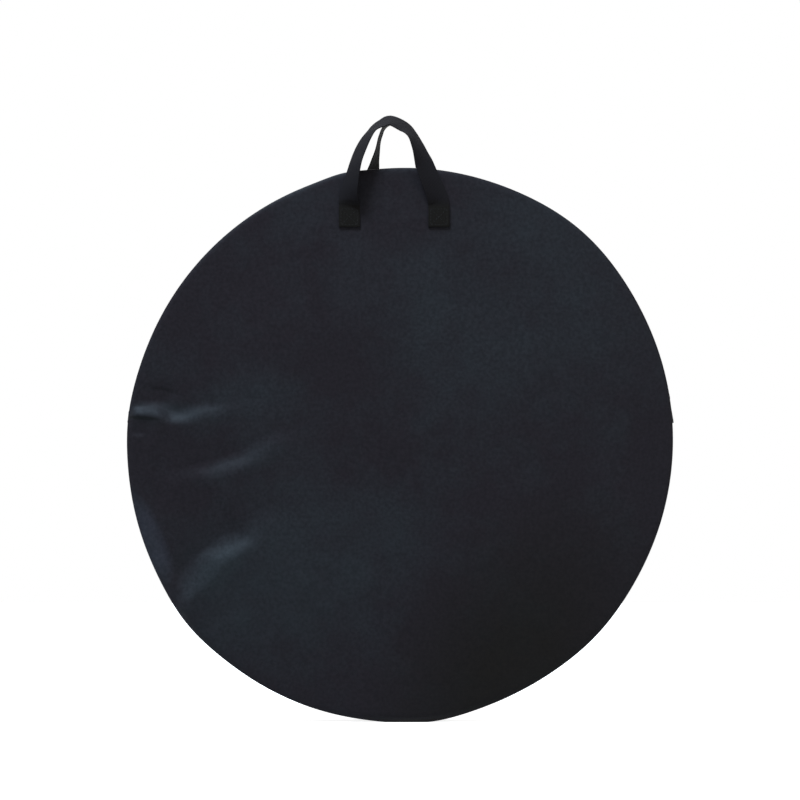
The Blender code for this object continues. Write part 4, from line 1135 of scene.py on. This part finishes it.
class WHEELBAG_OT_slider(bpy.types.Operator):
    """Make the zip's slider with its bridge, and the tab that hangs from it"""

    bl_idname = "wheelbag.slider"
    bl_label = "Slider and pull tab"

    def execute(self, context):
        self.slider()
        self.pull_tab()
        for stop in ("zip_top_stop_front", "zip_top_stop_back", "zip_bottom_stop"):
            node = frame["nodes"][stop]
            node.data.materials.clear()
            node.data.materials.append(material_for("metal"))
        return {"FINISHED"}

    def slider(self):
        """Two tapered plates joined by a post, the outer one curved down over the rows at its sides."""
        bm = bmesh.new()
        outer = [(0.55, 5.35), (1.2, 5.45), (2.2, 5.4), (3.0, 5.0), (3.42, 4.2), (3.6, 2.6), (3.68, 1.0)]
        outer += [(out, -across) for out, across in reversed(outer)]
        inner = [(-1.5, 5.1), (-1.45, 3.4), (-1.4, 1.6), (-1.4, -1.6), (-1.45, -3.4), (-1.5, -5.1)]
        lengths = (-8.9, -8.3, -6.5, -3.5, 0.0, 3.5, 6.5, 8.3, 8.9)
        for section, thickness in ((outer, -0.95 * MM), (inner, 0.85 * MM)):
            sheet = bmesh.new()
            line = [sheet.verts.new((out * MM, across * MM, lengths[0] * MM)) for out, across in section]
            draw_out(sheet, line, [(0, 0, (after - before) * MM) for before, after in zip(lengths, lengths[1:])])
            bmesh.ops.solidify(sheet, geom=sheet.faces[:], thickness=thickness)
            bmesh.ops.recalc_face_normals(sheet, faces=sheet.faces[:])
            join(bm, sheet, (Matrix(),))
        for vert in bm.verts:
            end = abs(vert.co.z) / SLIDER_HALF
            taper = 1.0 - 0.14 * smooth((vert.co.z / SLIDER_HALF + 0.2) / 1.2) - 0.10 * end ** 6
            if abs(vert.co.y) > 4.6 * MM or vert.co.x > 2.4 * MM or vert.co.x < 0:
                vert.co.y *= max(taper, 0.86)
            vert.co.x -= 0.25 * MM * end ** 4 if vert.co.x > 2 * MM else 0
        low, high = Vector((-1.9, -0.65, -8.2)) * MM, Vector((3.2, 0.65, -4.4)) * MM
        post = Matrix.Translation((low + high) / 2) @ Matrix.Diagonal((*(high - low), 1.0))
        bmesh.ops.create_cube(bm, size=1.0, matrix=post)
        self.bridge(bm)
        for vert in bm.verts:
            vert.co = slider_place(*vert.co)
        bmesh.ops.recalc_face_normals(bm, faces=bm.faces[:])
        made = piece("slider_body", bm, material_for("metal"), "slider", ("zip_slider",))
        round_edges(made, 0.22 * MM, 40)

    def bridge(self, bm):
        """A flat strap bent over the tab's bar, from one end of the outer plate towards the other."""
        arch = bmesh.new()
        half = 1.4 * MM
        path = [(3.0, -4.5), (4.4, -4.5), (5.5, -4.1), (6.15, -3.0), (6.3, -1.2)]
        path += [(out, -along) for out, along in reversed(path)]
        line = [arch.verts.new((out * MM, -half, along * MM)) for out, along in path]
        draw_out(arch, line, [(0, half, 0)] * 2)
        bmesh.ops.solidify(arch, geom=arch.faces[:], thickness=0.9 * MM)
        join(bm, arch, (Matrix(),))

    def pull_tab(self):
        """A flat tab with a slot round the bridge and a hole near its rounded end."""
        half, bar, length = 4.25 * MM, 0.8 * MM, 36 * MM
        curve = bpy.data.curves.new("tab", "CURVE")
        curve.dimensions, curve.fill_mode = "2D", "BOTH"
        curve.extrude, curve.bevel_depth, curve.bevel_resolution = 0.42 * MM, 0.18 * MM, 2
        flank = [(half * 0.80, bar), (half * 0.98, -3 * MM), (half * 0.86, -10 * MM), (half * 0.8, -16 * MM),
                 (half * 0.9, -24 * MM)]
        turn = rows_between(0.0, HALF_TURN, 16)
        outline = flank + [(half * math.cos(a), -(length - half) - half * math.sin(a)) for a in turn]
        outline += [(-across, along) for across, along in reversed(flank)]
        slot = [(-2.1 * MM, -bar), (2.1 * MM, -bar), (2.1 * MM, -6.2 * MM), (-2.1 * MM, -6.2 * MM)]
        hole_at = -(length - 5 * MM)
        hole = [(1.8 * MM * math.cos(2 * a), hole_at + 1.8 * MM * math.sin(2 * a)) for a in turn[:-1]]
        inset = curve.bevel_depth
        for loop, grow in ((outline, -inset), (slot, inset), (hole, inset)):
            spline = curve.splines.new("POLY")
            spline.points.add(len(loop) - 1)
            middle = Vector((0, sum(y for _, y in loop) / len(loop)))
            for point, place in zip(spline.points, loop):
                away = (Vector(place) - middle).normalized() * grow
                point.co = (place[0] + away.x, place[1] + away.y, 0.0, 1.0)
            spline.use_cyclic_u = True
        drawn = bpy.data.objects.new("tab", curve)
        bpy.context.scene.collection.objects.link(drawn)
        bpy.context.view_layer.update()
        mesh = bpy.data.meshes.new_from_object(drawn.evaluated_get(bpy.context.evaluated_depsgraph_get()))
        bpy.data.objects.remove(drawn)
        bpy.data.curves.remove(curve)
        bm = bmesh.new()
        bm.from_mesh(mesh)
        bpy.data.meshes.remove(mesh)
        pivot_out = (TAB_PIVOT - slider_place(0, 0, 0)).length
        for vert in bm.verts:
            vert.co = slider_place(pivot_out + vert.co.z, vert.co.x, vert.co.y)
        bmesh.ops.remove_doubles(bm, verts=bm.verts[:], dist=1e-6)
        bmesh.ops.recalc_face_normals(bm, faces=bm.faces[:])
        made = piece("pull_tab_plate", bm, material_for("metal"), "pull", ("pull_tab",))
        made.data.set_sharp_from_angle(angle=math.radians(35))


def smooth_path(rows, parts):
    """A Catmull-Rom curve through rows of numbers."""
    path = []
    for i in range(len(rows) - 1):
        a, b, c, d = (rows[min(max(k, 0), len(rows) - 1)] for k in (i - 1, i, i + 1, i + 2))
        for part in range(parts):
            t = part / parts
            path.append(tuple(q + 0.5 * t * (r - p + t * (2 * p - 5 * q + 4 * r - s + t * (3 * (q - r) + s - p)))
                              for p, q, r, s in zip(a, b, c, d)))
    path.append(tuple(rows[-1]))
    return path


class WHEELBAG_OT_handles(bpy.types.Operator):
    """Make the two webbing loops with their sewn ends and the stitching that holds them"""

    bl_idname = "wheelbag.handles"
    bl_label = "Handles"

    def execute(self, context):
        self.handle("front", -1, FRONT_LOOP_SHARES, "flap")
        self.handle("rear", 1, REAR_LOOP_SHARES, "bag")
        return {"FINISHED"}

    def sewn_place(self, side, x, z, lift):
        """A place over the panel's even face near a sewn end, and the way out of the panel there."""
        radius = math.hypot(x, z - RIM_CENTRE_Z)
        slope = 2 * CROWN / RIM_RADIUS ** 2
        out = Vector((slope * x, side, slope * (z - RIM_CENTRE_Z))).normalized()
        return Vector((x, side * panel_depth(radius), z)) + out * lift, out

    def sewn_stations(self, side, end):
        """The webbing's doubled end, from its raw edge underneath, down, round and up to the seam."""
        x = HANDLE_X + end * HANDLE_SPAN / 2
        low = SEWN_TOP - SEWN_LENGTH
        up = Vector((0, 0, 1))
        stations = []
        for z, lift, turn in ((SEWN_TOP - 4 * MM, 0.95 * MM, 180), (low + 8 * MM, 0.95 * MM, 180),
                              (low + 1.2 * MM, 0.95 * MM, 180), (low + 0.45 * MM, 1.2 * MM, 225),
                              (low + 0.3 * MM, 1.6 * MM, 270), (low + 0.45 * MM, 2.0 * MM, 315),
                              (low + 1.2 * MM, 2.2 * MM, 360), (low + 6 * MM, 2.15 * MM, 360),
                              (low + 14 * MM, 2.15 * MM, 360), (SEWN_TOP - 5 * MM, 2.1 * MM, 360),
                              (SEWN_TOP - 1.5 * MM, 1.9 * MM, 360)):
            middle, out = self.sewn_place(side, x, z, lift)
            angle = math.radians(turn)
            run = up * math.cos(angle) - out * math.sin(angle)
            facing = out * math.cos(angle) + up * math.sin(angle)
            stations.append((middle, facing, run))
        return stations

    def loop_stations(self, side, shares):
        """The loop's own places: its middle, the way its outer face looks and the way it runs."""
        rows = []
        for across, up, out, turn in smooth_path(shares, 6):
            angle = turn * TOP
            nearer = LOOP_PARTING + out * (HANDLE_FACE - LOOP_PARTING)
            depth = nearer + math.sin(angle) * WEBBING_WIDTH / 2 + 1.0 * MM
            height = SEWN_TOP + LOOP_START + up * LOOP_HEIGHT
            rows.append((Vector((HANDLE_X + across * HANDLE_SPAN, side * depth, height)), angle))
        stations = []
        last = len(rows) - 1
        for i, (middle, angle) in enumerate(rows):
            run = rows[min(i + 1, last)][0] - rows[max(i - 1, 0)][0]
            if i < 2 or i > last - 2:
                run = Vector((0, 0, 1.0 if i < 2 else -1.0))
            outwards = Vector((-run.z, 0, run.x)).normalized()
            stations.append((middle, math.cos(angle) * Vector((0, side, 0)) + math.sin(angle) * outwards, run))
        return stations

    def handle(self, name, side, shares, sewn_to):
        """One length of webbing from its left sewn end over the loop to its right one."""
        left, right = self.sewn_stations(side, -1), self.sewn_stations(side, 1)
        turned_back = [(middle, facing, -run) for middle, facing, run in reversed(right)]
        stations = left + self.loop_stations(side, shares) + turned_back
        bm = bmesh.new()
        cloth_map = bm.loops.layers.uv.new("cloth")
        bmesh.ops.create_grid(bm, x_segments=10, y_segments=len(stations) - 1, size=1.0)
        lengths = [0.0]
        for (here, _, _), (ahead, _, _) in zip(stations, stations[1:]):
            lengths.append(lengths[-1] + (ahead - here).length)
        homes = {}
        for vert in bm.verts:
            share = vert.co.x / 2 + 0.5
            index = round((vert.co.y / 2 + 0.5) * (len(stations) - 1))
            homes[vert] = (share, index)
        for vert, (share, index) in homes.items():
            middle, facing, run = stations[index]
            across = facing.cross(run).normalized()
            place = share - 0.5
            cupped = 0.35 * MM * (1 - (2 * place) ** 2) if SEWN_TOP + 8 * MM < middle.z else 0.0
            uneven = 0.25 * MM * noise.noise(Vector((lengths[index] * 60, place * 2, side * 4.0))) if cupped else 0.0
            vert.co = middle + across * (place * WEBBING_WIDTH) + facing.normalized() * (cupped + uneven)
        for face in bm.faces:
            for loop in face.loops:
                share, index = homes[loop.vert]
                loop[cloth_map].uv = (share * WEBBING_WIDTH, lengths[index])
        bmesh.ops.recalc_face_normals(bm, faces=bm.faces[:])
        nodes = (f"{name}_handle", f"{name}_handle_end_left", f"{name}_handle_end_right")
        made = piece(f"{name}_webbing", bm, material_for("webbing"), instead_of=nodes)
        thicken(made, 1.1 * MM, 0.0)
        round_edges(made, 0.35 * MM, 50)
        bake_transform(made)
        for end, label in ((-1, "left"), (1, "right")):
            self.box_stitching(f"{name}_{label}_box_stitching", side, end, sewn_to)

    def box_stitching(self, name, side, end, sewn_to):
        """Stitches round a sewn end and across it corner to corner."""
        x = HANDLE_X + end * HANDLE_SPAN / 2
        half = WEBBING_WIDTH / 2 - 3 * MM
        low, high = SEWN_TOP - SEWN_LENGTH + 2.8 * MM, SEWN_TOP - 2.2 * MM
        corners = [(x - half, low), (x + half, low), (x + half, high), (x - half, high)]
        lines = list(zip(corners, corners[1:] + corners[:1])) + [(corners[0], corners[2]), (corners[1], corners[3])]
        places = []
        for (ax, az), (bx, bz) in lines:
            length = math.hypot(bx - ax, bz - az)
            count = max(round(length / BOX_STEP), 2)
            for i in range(count):
                share = (i + 0.5) / count
                here, out = self.sewn_place(side, ax + share * (bx - ax), az + share * (bz - az), 2.72 * MM)
                places.append((here, Vector((bx - ax, 0, bz - az)), out))
        stitch_row(name, places, sewn_to)


def seen_rays(owner):
    """1 for what the camera sees, directly or in gloss or glass, and 0 for light on its way to the bag."""
    direct, through, gloss = (add_node(owner, "LightPath", output=f"Is {kind} Ray")
                              for kind in ("Camera", "Transmission", "Glossy"))
    seen = add_node(owner, "Math", (direct, through), operation="MAXIMUM")
    return add_node(owner, "Math", (seen, gloss), operation="MAXIMUM")


class WHEELBAG_OT_stage(bpy.types.Operator):
    """Set the pale floor, the white surround, the soft lamps and the camera"""

    bl_idname = "wheelbag.stage"
    bl_label = "Stage"

    def execute(self, context):
        scene = context.scene
        scene.view_settings.view_transform = "Standard"
        self.floor()
        self.surround(scene)
        self.lamps(scene)
        camera = bpy.data.objects.new("camera", bpy.data.cameras.new("camera"))
        scene.collection.objects.link(camera)
        camera.data.sensor_width = SENSOR_MM
        camera.data.lens = SENSOR_MM / 2 / PHOTO_HALF * (CAMERA_BACK - SEAM_HALF)
        camera.location = (CAMERA_X, -CAMERA_BACK, CAMERA_Z)
        camera.rotation_euler = (TOP, 0, 0)
        camera.data.clip_end = CAMERA_REACH
        scene.camera = camera
        return {"FINISHED"}

    def floor(self):
        """Seamless white paper that is lit to white, but for the bag's soft shadow."""
        bm = bmesh.new()
        bmesh.ops.create_grid(bm, x_segments=8, y_segments=8, size=PAPER_HALF)
        for vert in bm.verts:
            vert.co.z = -0.2 * MM
        paper = new_material("seamless white paper")
        shown = seen_rays(paper)
        fibre = add_node(paper, "MapRange", (patches_of(paper, 0.004), 0.0, 1.0, 0.92, 0.97))
        level = add_node(paper, "MapRange", (shown, 0.0, 1.0, PAPER_BOUNCE, 1.0))
        tone = add_node(paper, "Math", (fibre, level), operation="MULTIPLY")
        set_surface(paper, {
            "Base Color": add_node(paper, "CombineColor", (tone,) * 3),
            "Roughness": 0.9,
            "Specular IOR Level": 0.1,
            "Emission Color": (1, 1, 1, 1),
            "Emission Strength": add_node(paper, "MapRange", (shown, 0.0, 1.0, 0.0, PAPER_GLOW)),
        })
        piece("floor", bm, paper, flat_shaded=True)

    def surround(self, scene):
        """White to the eye and to gloss; dimmer as light on the bag."""
        world = bpy.data.worlds.new("surround")
        scene.world = world
        world.use_nodes = True
        strength = add_node(world, "MapRange", (seen_rays(world), 0.0, 1.0, WORLD_LEVEL, 1.0))
        back = world.node_tree.nodes["Background"]
        back.inputs["Color"].default_value = (1, 1, 1, 1)
        world.node_tree.links.new(strength, back.inputs["Strength"])

    def lamps(self, scene):
        """Large soft lamps that look at the bag's middle."""
        for name, at, size, power, colour in LAMPS:
            light = bpy.data.lights.new(name, "AREA")
            light.shape, light.size, light.energy, light.color = "SQUARE", size, power, colour
            lamp = bpy.data.objects.new(name, light)
            scene.collection.objects.link(lamp)
            lamp.location = at
            lamp.rotation_mode = "QUATERNION"
            lamp.rotation_quaternion = (Vector(LAMPS_LOOK_AT) - Vector(at)).to_track_quat("-Z", "Y")


MAKERS = (
    WHEELBAG_OT_panels,
    WHEELBAG_OT_inside,
    WHEELBAG_OT_side_wall,
    WHEELBAG_OT_zip,
    WHEELBAG_OT_slider,
    WHEELBAG_OT_handles,
    WHEELBAG_OT_stage,
)


class WHEELBAG_PT_panel(bpy.types.Panel):
    """Lists the bag's operators, sizes and colours"""

    bl_idname = "WHEELBAG_PT_panel"
    bl_label = "Wheel bag"
    bl_space_type = "VIEW_3D"
    bl_region_type = "UI"
    bl_category = "Wheel bag"

    def draw(self, context):
        for maker in MAKERS:
            self.layout.operator(maker.bl_idname)
        for group in (context.scene.wheelbag_sizes, context.scene.wheelbag_colours):
            column = self.layout.column()
            for name in group.bl_rna.properties.keys():
                if name not in ("name", "rna_type"):
                    column.prop(group, name)


CLASSES = (WHEELBAG_PG_sizes, WHEELBAG_PG_colours, *MAKERS, WHEELBAG_PT_panel)


def register():
    for cls in CLASSES:
        bpy.utils.register_class(cls)
    bpy.types.Scene.wheelbag_sizes = PointerProperty(type=WHEELBAG_PG_sizes)
    bpy.types.Scene.wheelbag_colours = PointerProperty(type=WHEELBAG_PG_colours)


def unregister():
    del bpy.types.Scene.wheelbag_sizes
    del bpy.types.Scene.wheelbag_colours
    for cls in reversed(CLASSES):
        bpy.utils.unregister_class(cls)


def main():
    """Registers the add-on and makes the whole bag with each of its operators."""
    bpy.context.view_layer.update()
    register()
    for maker in MAKERS:
        group, name = maker.bl_idname.split(".")
        getattr(getattr(bpy.ops, group), name)()


if __name__ == "__main__":
    main()
